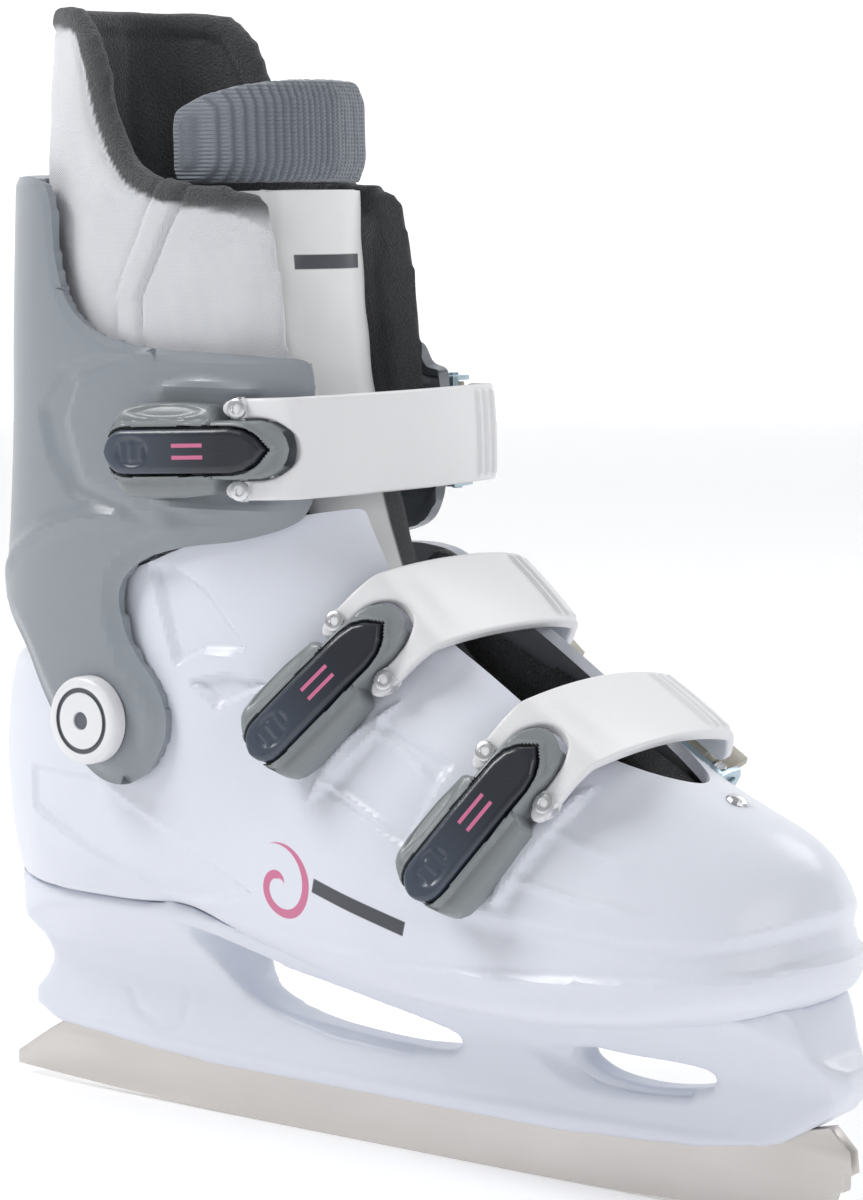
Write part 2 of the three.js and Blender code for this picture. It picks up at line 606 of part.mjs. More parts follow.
// ---- ankle hinge ----------------------------------------------------------------------
const capThickness = 3.2;
const washerThickness = 0.8;
const sides = [['lateral', -1], ['medial', 1]];
for (const [sideName, side] of sides) {
  const inner = ankleHalf - shellWall - 0.2;
  const outer = cuffInside + cuffWall;
  const alongY = (radius, from, to, count) => barY(
    radius, pivotX, pivotZ, Math.min(side * from, side * to), Math.max(side * from, side * to), count);
  const shank = alongY(pivotRadius, inner, outer + 1.4, 16);
  const collar = alongY(pivotRadius + 3, outer + gap, outer + 1.4, 20);
  const bore = alongY(pivotRadius + gap, inner - 4, outer + 8, 16);
  shell = shell.subtract(bore);
  cuff = cuff.subtract(bore);
  place(bootGroup, `pivot_rivet_${sideName}`, shank.add(collar), rivetSteel);
  const washerIn = ankleHalf + 0.2;
  const washer = alongY(9, washerIn + 0.15, washerIn + 0.15 + washerThickness, 20)
    .subtract(alongY(pivotRadius + gap, 0, 90, 16));
  cuff = cuff.subtract(alongY(9 + gap, washerIn, washerIn + 0.15 + washerThickness + gap, 20));
  place(bootGroup, `pivot_washer_${sideName}`, washer, strapWhite);
  const face = outer + 1.4 + gap;
  const capProfile = [
    [0, 0], [capRadius - 0.8, 0], [capRadius, 0.8], [capRadius, capThickness - 1],
    [capRadius - 1.2, capThickness], [0, capThickness + 0.5],
  ].map(([r, h]) => new THREE.Vector2(r, h));
  const cap = new THREE.LatheGeometry(capProfile, 28);
  if (side < 0) cap.rotateX(Math.PI);
  const rim = alongY(capRadius, outer + gap, face + 0.5, 28).subtract(alongY(pivotRadius + 3.4, 0, face, 20));
  place(bootGroup, `pivot_cap_${sideName}`,
    solid(cap.translate(pivotX, side * face, pivotZ)).add(rim), strapWhite);
}

// ---- buckles --------------------------------------------------------------------------
// Each buckle lies on the outer side between a tail and a nose, given by X and Z on the skin,
// and its catch lies on the inner side, at the same height, catchAlong from the mirrored tail.
// crest is how far the strap stands out over the tongue, past its fork.
const buckles = [
  {
    name: 'top', on: 'cuff', catchAlong: 40, crest: 5,
    tail: [pivotX + 14.5, cuffCorner - 25], nose: [pivotX + 68, cuffCorner - 22.6],
  },
  {
    name: 'middle', on: 'boot', catchAlong: 37, crest: 3,
    tail: fromPivot([61.7, -7.9]), nose: fromPivot([96.5, 32]),
  },
  {
    name: 'front', on: 'boot', catchAlong: 39, crest: 3.5,
    tail: [bootBack + bootLength / 2 + 44.4, ballHeight + 32.3],
    nose: [bootBack + bootLength / 2 + 68, ballHeight + 69.5],
  },
];

const skins = { boot: shellOuter, cuff: cuffOuter };
const grownSkins = { boot: shellOuterGrown, cuff: cuffOuterGrown };
for (const key of Object.keys(skins)) {
  const geometry = geometryOf(skins[key]);
  skins[key] = new THREE.Mesh(geometry, new THREE.MeshBasicMaterial({ side: THREE.DoubleSide }));
}

// the outer skin's point at a given X and Z
function skinPoint(skin, [x, z], side) {
  const ray = new THREE.Raycaster(new THREE.Vector3(x, side * 200, z), new THREE.Vector3(0, -side, 0));
  return ray.intersectObject(skin)[0].point;
}

// how far a skin stands out of a frame's base plane, inside a footprint
function skinHeight(skin, frame, u0, u1, w) {
  const out = new THREE.Vector3().setFromMatrixColumn(frame, 2);
  let height = -Infinity;
  for (let u = u0; u <= u1; u += 3) {
    for (const share of [-1, -0.5, 0, 0.5, 1]) {
      const start = new THREE.Vector3(u, share * w, 80).applyMatrix4(frame);
      const hit = new THREE.Raycaster(start, out.clone().negate()).intersectObject(skin)[0];
      if (hit) height = Math.max(height, 80 - hit.distance);
    }
  }
  return height;
}

// a frame on the skin: local X from tail to nose, local Y across, local Z outwards
function buckleFrame(buckle, side, u0, u1, w) {
  const skin = skins[buckle.on];
  const from = skinPoint(skin, buckle.tail, side);
  const along = skinPoint(skin, buckle.nose, side).sub(from).normalize();
  const out = new THREE.Vector3(0, side, 0);
  out.addScaledVector(along, -out.dot(along)).normalize();
  const across = new THREE.Vector3().crossVectors(out, along);
  const frame = new THREE.Matrix4().makeBasis(along, across, out).setPosition(from);
  const lift = skinHeight(skin, frame, u0, u1, w);
  return { frame: frame.multiply(new THREE.Matrix4().makeTranslation(0, 0, lift)), lift };
}

// the strap's centre line in its lever's frame: over the instep and down to the catch
function strapPath(buckle, frame, catchFrame) {
  const inLever = frame.clone().invert();
  const inner = (u, n) => new THREE.Vector3(u, 0, n).applyMatrix4(catchFrame).applyMatrix4(inLever);
  const bend = new THREE.Vector3(pinAlong + 15.5, 0, pinUp - 2.6);
  const farBend = inner(pinAlong + 16, pinUp - 3.6);
  const crest = bend.clone().add(farBend).multiplyScalar(0.5);
  const rise = new THREE.Vector3().subVectors(farBend, bend).normalize();
  crest.add(new THREE.Vector3(-rise.z, 0, rise.x).multiplyScalar(buckle.crest));
  const end = inner(buckle.catchAlong + 6.8, pinUp - 0.8);
  const beforeEnd = inner((pinAlong + 16 + buckle.catchAlong + 6.8) / 2, pinUp - 1);
  return [new THREE.Vector3(pinAlong + 9, 0, pinUp), bend, crest, farBend, beforeEnd, end]
    .map((p) => [p.x, p.z]);
}

const leverGap = 0.35;
const earInner = 2.4;
const earOuter = 4.6;
const hingePinRadius = 1.4;

function leverBody() {
  const nose = leverLength;
  const shape = new THREE.Shape();
  shape.moveTo(4, -leverHalf + 3);
  shape.quadraticCurveTo(5, -leverHalf, 12, -leverHalf);
  shape.lineTo(pinAlong - 8.5, -leverHalf + 1);
  shape.lineTo(pinAlong - 6.6, -leverNose);
  shape.lineTo(nose - 8, -leverNose);
  shape.quadraticCurveTo(nose - 2.5, -leverNose * 0.75, nose, 0);
  shape.quadraticCurveTo(nose - 2.5, leverNose * 0.75, nose - 8, leverNose);
  shape.lineTo(pinAlong - 6.6, leverNose);
  shape.lineTo(pinAlong - 8.5, leverHalf - 1);
  shape.lineTo(12, leverHalf);
  shape.quadraticCurveTo(5, leverHalf, 4, leverHalf - 3);
  shape.quadraticCurveTo(0, 0, 4, -leverHalf + 3);
  const extrusion = { depth: leverTop, curveSegments: 3, bevelEnabled: false };
  const plan = solid(new THREE.ExtrudeGeometry(shape, extrusion).translate(0, 0, leverStandOff));
  // the long outline: low at the nose, full height at the button, scooped under the tail
  const long = sideProfile(outline([
    [-2, leverStandOff + 4], [8, leverStandOff], [nose + 2, leverStandOff], [nose + 2, 6],
    [nose - 6, leverTop - 1], [nose - 12, leverTop], [6, leverTop], [-2, leverTop - 3],
  ]), -40, 40);
  const cheekCut = box(-5, pinAlong - 5, -40, 40, leverTop - 2.2, 40)
    .subtract(box(-5, 60, -buttonHalf - 2.2, buttonHalf + 2.2, 0, 40));
  const pocket = buttonPlan(buttonHalf + leverGap, leverGap);
  const pocketHalf = earOuter + leverGap;
  const earPocket = box(hingeAlong - 5.2, leverLength + 2, -pocketHalf, pocketHalf, -5, hingeUp + 3);
  return plan.intersect(long).subtract(cheekCut)
    .subtract(planProfile(pocket, 7, 40))
    .subtract(planProfile(pocket, 5, 40).intersect(box(-5, 27, -40, 40, 0, 40)))
    .subtract(earPocket)
    .subtract(barY(pinRadius + leverGap, pinAlong, pinUp, -40, 40))
    .subtract(barY(hingePinRadius + leverGap, hingeAlong, hingeUp, -40, 40));
}

// the lock button's plan: round at the tail, pointed at the nose
function buttonPlan(half, grow) {
  const start = 3.5 - grow;
  const end = 3.5 + buttonLength + grow;
  const shape = new THREE.Shape();
  shape.moveTo(start + half, -half);
  shape.lineTo(end - 10, -half);
  shape.quadraticCurveTo(end - 3, -half * 0.7, end, 0);
  shape.quadraticCurveTo(end - 3, half * 0.7, end - 10, half);
  shape.lineTo(start + half, half);
  shape.absarc(start + half, 0, half, Math.PI / 2, Math.PI * 1.5, false);
  return shape;
}

function buttonBody() {
  const across = new THREE.ExtrudeGeometry(buttonPlan(buttonHalf, 0),
    { depth: buttonTop - 7.35, curveSegments: 3, bevelEnabled: false }).translate(0, 0, 7.35);
  const crown = sideProfile(outline([
    [0, 7.3], [60, 7.3], [60, 9.5], [50, 11.4], [38, buttonTop - 0.2], [26, buttonTop], [12, buttonTop - 0.4],
    [0, 10.5],
  ]), -20, 20);
  return solid(across).intersect(crown);
}

// the strap's ribbon: straight over the fork, then round the boot, ribbed at its end
function strapBody(path) {
  const start = pinAlong - 5.5;
  const centre = new THREE.CatmullRomCurve3(
    [[start, pinUp], [pinAlong, pinUp], [pinAlong + 5, pinUp], ...path]
      .map(([u, n]) => new THREE.Vector3(u, n, 0)), false, 'centripetal');
  const steps = 27;
  const outerSide = [];
  const innerSide = [];
  const ribs = 6;
  for (let i = 0; i <= steps; i++) {
    const t = i / steps;
    const at = centre.getPointAt(t);
    const along = centre.getTangentAt(t);
    const fromEnd = steps - i;
    const rib = fromEnd <= ribs && fromEnd % 2 === 0 ? 0.8 : 0;
    const half = strapThickness / 2;
    outerSide.push([at.x - along.y * (half + rib), at.y + along.x * (half + rib)]);
    innerSide.push([at.x + along.y * half, at.y - along.x * half]);
  }
  const ribbon = sideProfile(outline(innerSide.concat(outerSide.reverse())), -strapHalf, strapHalf);
  const boss = barY(strapThickness / 2 + 1.6, pinAlong, pinUp, -strapHalf, strapHalf, 16);
  const fork = box(0, pinAlong + forkDepth, -forkHalf, forkHalf, -20, 30);
  return ribbon.add(boss).subtract(fork).subtract(barY(pinRadius + leverGap, pinAlong, pinUp, -40, 40));
}

function baseBody(lift, skinGrown, frame) {
  const back = frame.clone().invert();
  const plate = box(20, hingeAlong - 2.2, -6.8, 6.8, -lift - 12, 0.4);
  const ear = (from, to) => box(hingeAlong - 4.6, hingeAlong, from, to, -0.6, hingeUp + 1)
    .add(barY(2.9, hingeAlong, hingeUp, from, to, 14));
  return plate.add(ear(earInner, earOuter)).add(ear(-earOuter, -earInner))
    .subtract(barY(hingePinRadius + gap, hingeAlong, hingeUp, -40, 40))
    .subtract(solid(geometryOf(skinGrown).applyMatrix4(back)));
}

// ---- catches on the inner side ----------------------------------------------------------
const catchPinUp = 6;
const catchPinRadius = 1.5;
const catchEar = strapHalf + 0.8;
const catchEarThickness = 1.4;

function catchBracket(at, lift, skinGrown, frame) {
  const back = frame.clone().invert();
  const outer = catchEar + catchEarThickness;
  const floor = box(at - 9, at + 7, -outer, outer, -lift - 14, 0.9);
  const earShape = outline([
    [at - 6, -2], [at + 6, -2], [at + 5, 5], [at + 3.4, 9], [at, 10.2], [at - 3.4, 9], [at - 6, 4],
  ]);
  const ears = sideProfile(earShape, catchEar, catchEar + catchEarThickness)
    .add(sideProfile(earShape, -catchEar - catchEarThickness, -catchEar));
  return floor.add(ears)
    .subtract(barY(catchPinRadius + gap, at, catchPinUp, -40, 40))
    .subtract(solid(geometryOf(skinGrown).applyMatrix4(back)));
}

function catchLever(at) {
  const hub = barY(3.1, at, catchPinUp, -catchEar + 0.5, catchEar - 0.5, 14);
  const plate = box(at - 2.6, at - 0.2, -catchHalf, catchHalf, catchPinUp, catchPinUp + catchReach);
  const pawl = sideProfile(outline([
    [at, catchPinUp - 2.6], [at + 5, catchPinUp - 3.4], [at + 6, catchPinUp - 1.6],
    [at, catchPinUp + 2.4],
  ]), -7, 7);
  const springRoom = barY(3.5, at, catchPinUp, 9, 20);
  return hub.add(plate).add(pawl).subtract(springRoom)
    .subtract(barY(catchPinRadius + gap, at, catchPinUp, -40, 40));
}

// a torsion spring's coil as a corrugated ring round the pin
function springCoil(at) {
  const inner = catchPinRadius + 0.3;
  const profile = [[inner, 9.4]];
  const turns = 3;
  for (let i = 0; i < turns; i++) {
    const y = 9.4 + i * 0.9;
    profile.push([inner + 0.7, y], [inner + 1.1, y + 0.45]);
  }
  profile.push([inner + 0.7, 9.4 + turns * 0.9], [inner, 9.4 + turns * 0.9], [inner, 9.4]);
  const ring = new THREE.LatheGeometry(profile.map(([r, y]) => new THREE.Vector2(r, y)), 12);
  return solid(ring.translate(at, 0, catchPinUp));
}

function rivetBody(u, w, head, depth) {
  const dome = [[0, 1.5], [1.6, 1.3], [2.8, 0.7], [3.2, 0], [1.8, 0], [1.8, -depth], [0, -depth]]
    .map(([r, h]) => new THREE.Vector2(r, h));
  return solid(new THREE.LatheGeometry(dome.reverse(), 12).rotateX(Math.PI / 2).translate(u, w, head));
}

for (const buckle of buckles) {
  const group = buckle.on === 'cuff' ? cuffGroup : bootGroup;
  const skinGrown = grownSkins[buckle.on];
  const n = buckle.name;
  const at = buckle.catchAlong;
  const { frame, lift } = buckleFrame(buckle, -1, 0, leverLength - 3, leverHalf);
  const catchFrame = buckleFrame(buckle, 1, at - 5, at + 6, catchEar);

  const lockGroup = new THREE.Group();
  lockGroup.applyMatrix4(frame);
  group.add(lockGroup);
  place(lockGroup, `${n}_lever`, leverBody(), leverGrey);
  place(lockGroup, `${n}_lock_button`, buttonBody(), slateBlack);
  const springLeaf = box(12, 24, -2.5, 2.5, 5.3, 5.8).add(box(21, 24, -2.5, 2.5, 5.3, 6.6));
  place(lockGroup, `${n}_button_spring`, springLeaf, rivetSteel);
  const path = strapPath(buckle, frame, catchFrame.frame);
  place(lockGroup, `${n}_strap`, strapBody(path), strapWhite);
  const strapPin = barY(pinRadius, pinAlong, pinUp, -strapHalf - 0.4, strapHalf + 0.4);
  place(lockGroup, `${n}_strap_pin`, strapPin, rivetSteel);
  const hingePin = barY(hingePinRadius, hingeAlong, hingeUp, -leverNose, leverNose);
  place(lockGroup, `${n}_hinge_pin`, hingePin, rivetSteel);
  const rivetAlong = 28;
  const rivetHole = barZ(1.8 + gap, rivetAlong, 0, -40, 6).add(barZ(3.2 + gap, rivetAlong, 0, -1.2, 6));
  place(lockGroup, `${n}_base`, baseBody(lift, skinGrown, frame).subtract(rivetHole), leverGrey);
  place(lockGroup, `${n}_base_rivet`, rivetBody(rivetAlong, 0, -1.2 + gap, shellWall - 0.3), rivetSteel);

  const catchGroup = new THREE.Group();
  catchGroup.applyMatrix4(catchFrame.frame);
  group.add(catchGroup);
  const catchHole = barZ(1.8 + gap, at - 5, 0, -40, 3);
  const bracket = catchBracket(at, catchFrame.lift, skinGrown, catchFrame.frame).subtract(catchHole);
  place(catchGroup, `${n}_catch_bracket`, bracket, zincSteel);
  place(catchGroup, `${n}_catch_lever`, catchLever(at), smokedPlastic);
  const catchPin = barY(catchPinRadius, at, catchPinUp, -catchEar - 2.2, catchEar + 2.2);
  place(catchGroup, `${n}_catch_pin`, catchPin, zincSteel);
  place(catchGroup, `${n}_catch_spring`, springCoil(at), rivetSteel);
  place(catchGroup, `${n}_catch_rivet`, rivetBody(at - 5, 0, 0.9 + gap, shellWall + 0.8), rivetSteel);

  const holes = solid(geometryOf(rivetHole).applyMatrix4(frame))
    .add(solid(geometryOf(catchHole).applyMatrix4(catchFrame.frame)));
  if (buckle.on === 'cuff') cuff = cuff.subtract(holes);
  else shell = shell.subtract(holes);
}

// ---- toe rivet ------------------------------------------------------------------------
const toeRivetX = bootBack + 0.885 * bootLength;
const toeNext = footStations.findIndex((s) => s.x > toeRivetX);
const [toeA, toeB] = [footStations[toeNext - 1], footStations[toeNext]];
const toeSlope = (toeB.high - toeA.high) / (toeB.x - toeA.x);
const toeFrame = new THREE.Matrix4().makeRotationY(-Math.atan(toeSlope))
  .setPosition(toeRivetX, 0, toeA.high + toeSlope * (toeRivetX - toeA.x));
shell = shell.subtract(solid(geometryOf(barZ(1.8 + gap, 0, 0, -20, 6)).applyMatrix4(toeFrame)));
const toeRivet = solid(geometryOf(rivetBody(0, 0, gap, shellWall)).applyMatrix4(toeFrame));
place(bootGroup, 'toe_rivet', toeRivet, rivetSteel);

place(bootGroup, 'shell', shell, shellWhite);
place(bootGroup, 'blade_holder', holder, shellWhite);
place(bootGroup, 'blade', blade, bladeSteel);
screws.forEach(({ body }, i) => place(bootGroup, `holder_screw_${i + 1}`, body, rivetSteel));
place(bootGroup, 'liner_foot', linerFoot, linerWhite);
place(bootGroup, 'insole', insole, fleeceGrey);
place(bootGroup, 'tongue_lower', tongueLower, fleeceGrey);
place(cuffGroup, 'cuff', cuff, cuffGrey);
place(cuffGroup, 'liner_collar', linerCollar, linerWhite);
place(cuffGroup, 'tongue_upper', tongueUpper, vinylWhite);
place(cuffGroup, 'tongue_top_pad', tonguePad, cuffGrey);

export default skate;
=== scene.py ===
"""A hard-shell ice skate for the right foot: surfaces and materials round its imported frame.

Metres, with the origin on the blade's running edge, +X to the toe, +Y to the inner side of the
foot and +Z up. Sizes below are in millimetres and are scaled as each mesh is made.
"""
import json
import math
import bmesh
import bpy
import numpy as np
from mathutils import Matrix, Vector


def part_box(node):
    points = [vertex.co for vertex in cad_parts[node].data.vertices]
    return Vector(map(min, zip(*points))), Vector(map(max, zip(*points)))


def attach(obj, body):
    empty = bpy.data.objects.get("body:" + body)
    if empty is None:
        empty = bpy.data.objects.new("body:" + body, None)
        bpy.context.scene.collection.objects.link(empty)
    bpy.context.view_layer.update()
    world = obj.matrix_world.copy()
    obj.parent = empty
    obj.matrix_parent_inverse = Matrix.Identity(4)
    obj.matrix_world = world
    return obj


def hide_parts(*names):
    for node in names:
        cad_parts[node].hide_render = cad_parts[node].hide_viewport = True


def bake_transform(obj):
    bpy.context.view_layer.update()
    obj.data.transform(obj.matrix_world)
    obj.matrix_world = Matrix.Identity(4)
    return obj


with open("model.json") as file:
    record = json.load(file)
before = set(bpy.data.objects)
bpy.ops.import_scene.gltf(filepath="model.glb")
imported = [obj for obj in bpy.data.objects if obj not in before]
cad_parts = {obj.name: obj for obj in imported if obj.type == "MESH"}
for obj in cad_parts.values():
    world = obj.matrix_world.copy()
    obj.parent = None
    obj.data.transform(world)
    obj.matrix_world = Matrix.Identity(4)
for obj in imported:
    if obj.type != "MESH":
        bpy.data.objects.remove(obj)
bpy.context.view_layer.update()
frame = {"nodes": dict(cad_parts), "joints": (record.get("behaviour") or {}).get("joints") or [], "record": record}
MM = 0.001
JOINTS = {joint["name"]: joint for joint in frame["joints"]}


def corners(node):
    low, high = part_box(node)
    return np.array(low) / MM, np.array(high) / MM


shell_low, shell_high = corners("shell")
pivot_x, _, pivot_z = (value / MM for value in JOINTS["cuff_hinge"]["pos_m"])
boot_back = shell_low[0]
boot_length = 281.0
ball_half = shell_high[1]
ball_height = shell_low[2]
ankle_half = 40.0
cuff_height = 270.0
spoiler_height = corners("liner_collar")[1][2]
wall = 3.0


# ---- meshes ---------------------------------------------------------------------------
def distances(points):
    """How far along a path of points each one lies."""
    gaps = np.linalg.norm(np.diff(points, axis=0), axis=1)
    return np.concatenate([[0], np.cumsum(gaps)])


def eased(t, gap, first, last, rise_first, rise_last):
    """A cubic from one value to the next that leaves and arrives with the given slopes."""
    return (
        (1 + 2 * t) * (1 - t) ** 2 * first + t * (1 - t) ** 2 * gap * rise_first
        + t * t * (3 - 2 * t) * last + t * t * (t - 1) * gap * rise_last
    )


def smooth_rows(keys, rows, at):
    """Rows of numbers between the given keys, without overshoot."""
    keys = np.asarray(keys, float)
    rows = np.asarray(rows, float).reshape(len(keys), -1)
    at = np.clip(np.asarray(at, float), keys[0], keys[-1])
    gaps = np.diff(keys)[:, None]
    rise = np.diff(rows, axis=0) / gaps
    slope = np.zeros_like(rows)
    slope[0], slope[-1] = rise[0], rise[-1]
    both = rise[:-1] * rise[1:]
    total = np.where(both > 0, rise[:-1] + rise[1:], 1)
    slope[1:-1] = np.where(both > 0, 2 * both / total, 0)
    index = np.clip(np.searchsorted(keys, at, side="right") - 1, 0, len(keys) - 2)
    gap = gaps[index]
    t = (at[:, None] - keys[index][:, None]) / gap
    return eased(t, gap, rows[index], rows[index + 1], slope[index], slope[index + 1])


def smooth_line(keys, values, at):
    return smooth_rows(keys, values, np.ravel(at))[:, 0].reshape(np.shape(at))


def smooth_path(points, count, closed=False):
    """Evenly spread points on a smooth curve through a few."""
    p = np.asarray(points, float)
    if closed:
        p = np.vstack([p[-2:], p, p[:3]])
    chord = distances(p)
    slope = np.empty_like(p)
    slope[1:-1] = (p[2:] - p[:-2]) / (chord[2:] - chord[:-2])[:, None]
    slope[0] = (p[1] - p[0]) / (chord[1] - chord[0])
    slope[-1] = (p[-1] - p[-2]) / (chord[-1] - chord[-2])
    first, last = (chord[2], chord[-3]) if closed else (chord[0], chord[-1])
    at = np.linspace(first, last, count, endpoint=not closed)
    index = np.clip(np.searchsorted(chord, at, side="right") - 1, 0, len(chord) - 2)
    gap = (chord[index + 1] - chord[index])[:, None]
    t = (at - chord[index])[:, None] / gap
    return eased(t, gap, p[index], p[index + 1], slope[index], slope[index + 1])


def step(low, high, value):
    """0 below low, 1 above high, and smooth between them."""
    t = np.clip((np.asarray(value, float) - low) / (high - low), 0, 1)
    return t * t * (3 - 2 * t)


def inside_depth(x, z, outline):
    """Distance to an outline in the XZ plane: positive inside it."""
    p = np.asarray(outline, float)
    q = np.roll(p, -1, axis=0)
    nearest = np.full(np.shape(x), 1e9)
    inside = np.zeros(np.shape(x), bool)
    for (ax, az), (bx, bz) in zip(p, q):
        dx, dz = bx - ax, bz - az
        t = np.clip(((x - ax) * dx + (z - az) * dz) / (dx * dx + dz * dz), 0, 1)
        nearest = np.minimum(nearest, np.hypot(x - ax - t * dx, z - az - t * dz))
        crosses = (az > z) != (bz > z)
        height = dz if dz else 1e-9
        inside ^= crosses & (x < ax + dx * (z - az) / height)
    return np.where(inside, nearest, -nearest)


def line_depth(x, z, path):
    """Distance to an open line in the XZ plane, and the share of the way along it."""
    p = np.asarray(path, float)
    lengths = distances(p)
    nearest = np.full(np.shape(x), 1e9)
    along = np.zeros(np.shape(x))
    for i, ((ax, az), (bx, bz)) in enumerate(zip(p[:-1], p[1:])):
        dx, dz = bx - ax, bz - az
        t = np.clip(((x - ax) * dx + (z - az) * dz) / (dx * dx + dz * dz), 0, 1)
        gap = np.hypot(x - ax - t * dx, z - az - t * dz)
        closer = gap < nearest
        nearest = np.where(closer, gap, nearest)
        share = (lengths[i] + t * (lengths[i + 1] - lengths[i])) / lengths[-1]
        along = np.where(closer, share, along)
    return nearest, along


def pick(*pieces):
    bpy.ops.object.select_all(action="DESELECT")
    for piece in pieces:
        piece.select_set(True)
    bpy.context.view_layer.objects.active = pieces[0]


def new_piece(name, points, faces):
    mesh = bpy.data.meshes.new(name)
    mesh.from_pydata((np.asarray(points, float) * MM).tolist(), [], faces)
    mesh.update()
    piece = bpy.data.objects.new(name, mesh)
    bpy.context.scene.collection.objects.link(piece)
    return piece


def grid_faces(rows, columns):
    faces = []
    for r in range(rows - 1):
        low, high = r * columns, (r + 1) * columns
        for c in range(columns):
            d = (c + 1) % columns
            faces.append((low + c, low + d, high + d, high + c))
    return faces


def closed_loft(name, rings):
    """A closed body through rings of equal point counts."""
    rings = np.asarray(rings, float)
    rows, columns, _ = rings.shape
    points = np.vstack([rings.reshape(-1, 3), rings[0].mean(0), rings[-1].mean(0)])
    faces = grid_faces(rows, columns)
    first, last = rows * columns, rows * columns + 1
    for c in range(columns):
        d = (c + 1) % columns
        faces.append((first, d, c))
        faces.append((last, (rows - 1) * columns + c, (rows - 1) * columns + d))
    piece = new_piece(name, points, faces)
    outwards(piece)
    return piece


def outwards(piece):
    pick(piece)
    bpy.ops.object.mode_set(mode="EDIT")
    bpy.ops.mesh.select_all(action="SELECT")
    bpy.ops.mesh.normals_make_consistent(inside=False)
    bpy.ops.object.mode_set(mode="OBJECT")


def finish_with(piece, kind, **settings):
    """Adds a modifier, sets it up and applies it."""
    pick(piece)
    modifier = piece.modifiers.new(kind.title(), kind)
    for key, value in settings.items():
        setattr(modifier, key, value)
    bpy.ops.object.modifier_apply(modifier=modifier.name)
    return piece


def join(*pieces):
    pick(*pieces)
    bpy.ops.object.join()
    return pieces[0]


def places(piece):
    flat = np.empty(len(piece.data.vertices) * 3, np.float32)
    piece.data.vertices.foreach_get("co", flat)
    return flat.reshape(-1, 3).astype(float) / MM


def set_places(piece, points):
    piece.data.vertices.foreach_set("co", (np.asarray(points) * MM).astype(np.float32).ravel())
    piece.data.update()


def normals(piece):
    flat = np.empty(len(piece.data.vertices) * 3, np.float32)
    piece.data.vertices.foreach_get("normal", flat)
    return flat.reshape(-1, 3).astype(float)


def raise_surface(piece, amount):
    """Moves the surface along its normals by amount(x, y, z), in millimetres."""
    points = places(piece)
    lift = amount(*points.T)
    set_places(piece, points + normals(piece) * lift[:, None])


def smooth_look(piece, angle=40):
    pick(piece)
    bpy.ops.object.shade_smooth_by_angle(angle=math.radians(angle))


def prism(name, outline, low, high, frame_matrix=None, axis="y"):
    """A closed outline given a depth: along Y from an XZ outline, or along local Z."""
    count = len(outline)
    if axis == "y":
        points = [(x, low, z) for x, z in outline] + [(x, high, z) for x, z in outline]
    else:
        points = [(x, y, low) for x, y in outline] + [(x, y, high) for x, y in outline]
    faces = [tuple(range(count)), tuple(range(2 * count - 1, count - 1, -1))]
    for i in range(count):
        j = (i + 1) % count
        faces.append((i, count + i, count + j, j))
    piece = new_piece(name, points, faces)
    if frame_matrix is not None:
        piece.data.transform(frame_matrix)
    outwards(piece)
    return piece


def cut(piece, cutter, operation="DIFFERENCE"):
    finish_with(piece, "BOOLEAN", object=cutter, operation=operation, solver="EXACT")
    bpy.data.objects.remove(cutter)
    return piece


def copy_of(node, name):
    """A copy of a frame node with its shared corners joined, ready to be finished."""
    piece = frame["nodes"][node].copy()
    piece.data = piece.data.copy()
    piece.name = name
    for key in list(piece.keys()):
        del piece[key]
    piece.parent = None
    bpy.context.scene.collection.objects.link(piece)
    pick(piece)
    bpy.ops.object.mode_set(mode="EDIT")
    bpy.ops.mesh.select_all(action="SELECT")
    bpy.ops.mesh.remove_doubles(threshold=0.00001)
    bpy.ops.mesh.normals_make_consistent(inside=False)
    bpy.ops.object.mode_set(mode="OBJECT")
    return piece


def settle(piece, body, slot, *nodes):
    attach(piece, body)
    if nodes:
        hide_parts(*nodes)
    return piece


# ---- boot body ------------------------------------------------------------------------
# Foot sections stand across X: share of the length, share of the ball's half width,
# underside and top over the ball's underside.
FOOT = np.array([
    [0.055, 0.47, 18.5, 70], [0.11, 0.68, 18, 78], [0.2, 0.78, 18, 84], [0.3, 0.82, 16.5, 92],
    [0.39, 0.85, 9.5, 108], [0.5, 0.93, 3, 126], [0.57, 0.98, 1, 119], [0.66, 1, 0, 102],
    [0.75, 1, 1, 83], [0.83, 0.96, 3.5, 68], [0.89, 0.86, 6.5, 60.5], [0.94, 0.7, 9.5, 55],
    [0.975, 0.46, 12.5, 48], [0.994, 0.22, 16, 40], [1.0, 0.06, 21, 33],
])
HEEL_LOW = ball_height + 18


def superellipse(power, count):
    turn = np.arange(count) / count * 2 * np.pi
    c, s = np.cos(turn), np.sin(turn)
    exponent = 2 / np.broadcast_to(np.asarray(power, float), (count,))
    return np.sign(c) * np.abs(c) ** exponent, np.sign(s) * np.abs(s) ** exponent, s


def foot_rings(count=128, layers=120):
    at = np.linspace(FOOT[0, 0], FOOT[-1, 0], layers)
    rows = smooth_rows(FOOT[:, 0], FOOT[:, 1:], at)
    turn = np.sin(np.arange(count) / count * 2 * np.pi)
    across, rise, s = superellipse(np.where(turn >= 0, 1.8, 3.2), count)
    rings = []
    for share, (half, low, high) in zip(at, rows):
        low, high = ball_height + low, ball_height + high
        waist = low + (high - low) * 0.3
        x = boot_back + share * boot_length
        y = max(half * ball_half, 1) * across
        z = waist + rise * np.where(s > 0, high - waist, waist - low)
        rings.append(np.stack([np.full(count, x), y, z], 1))
    return rings


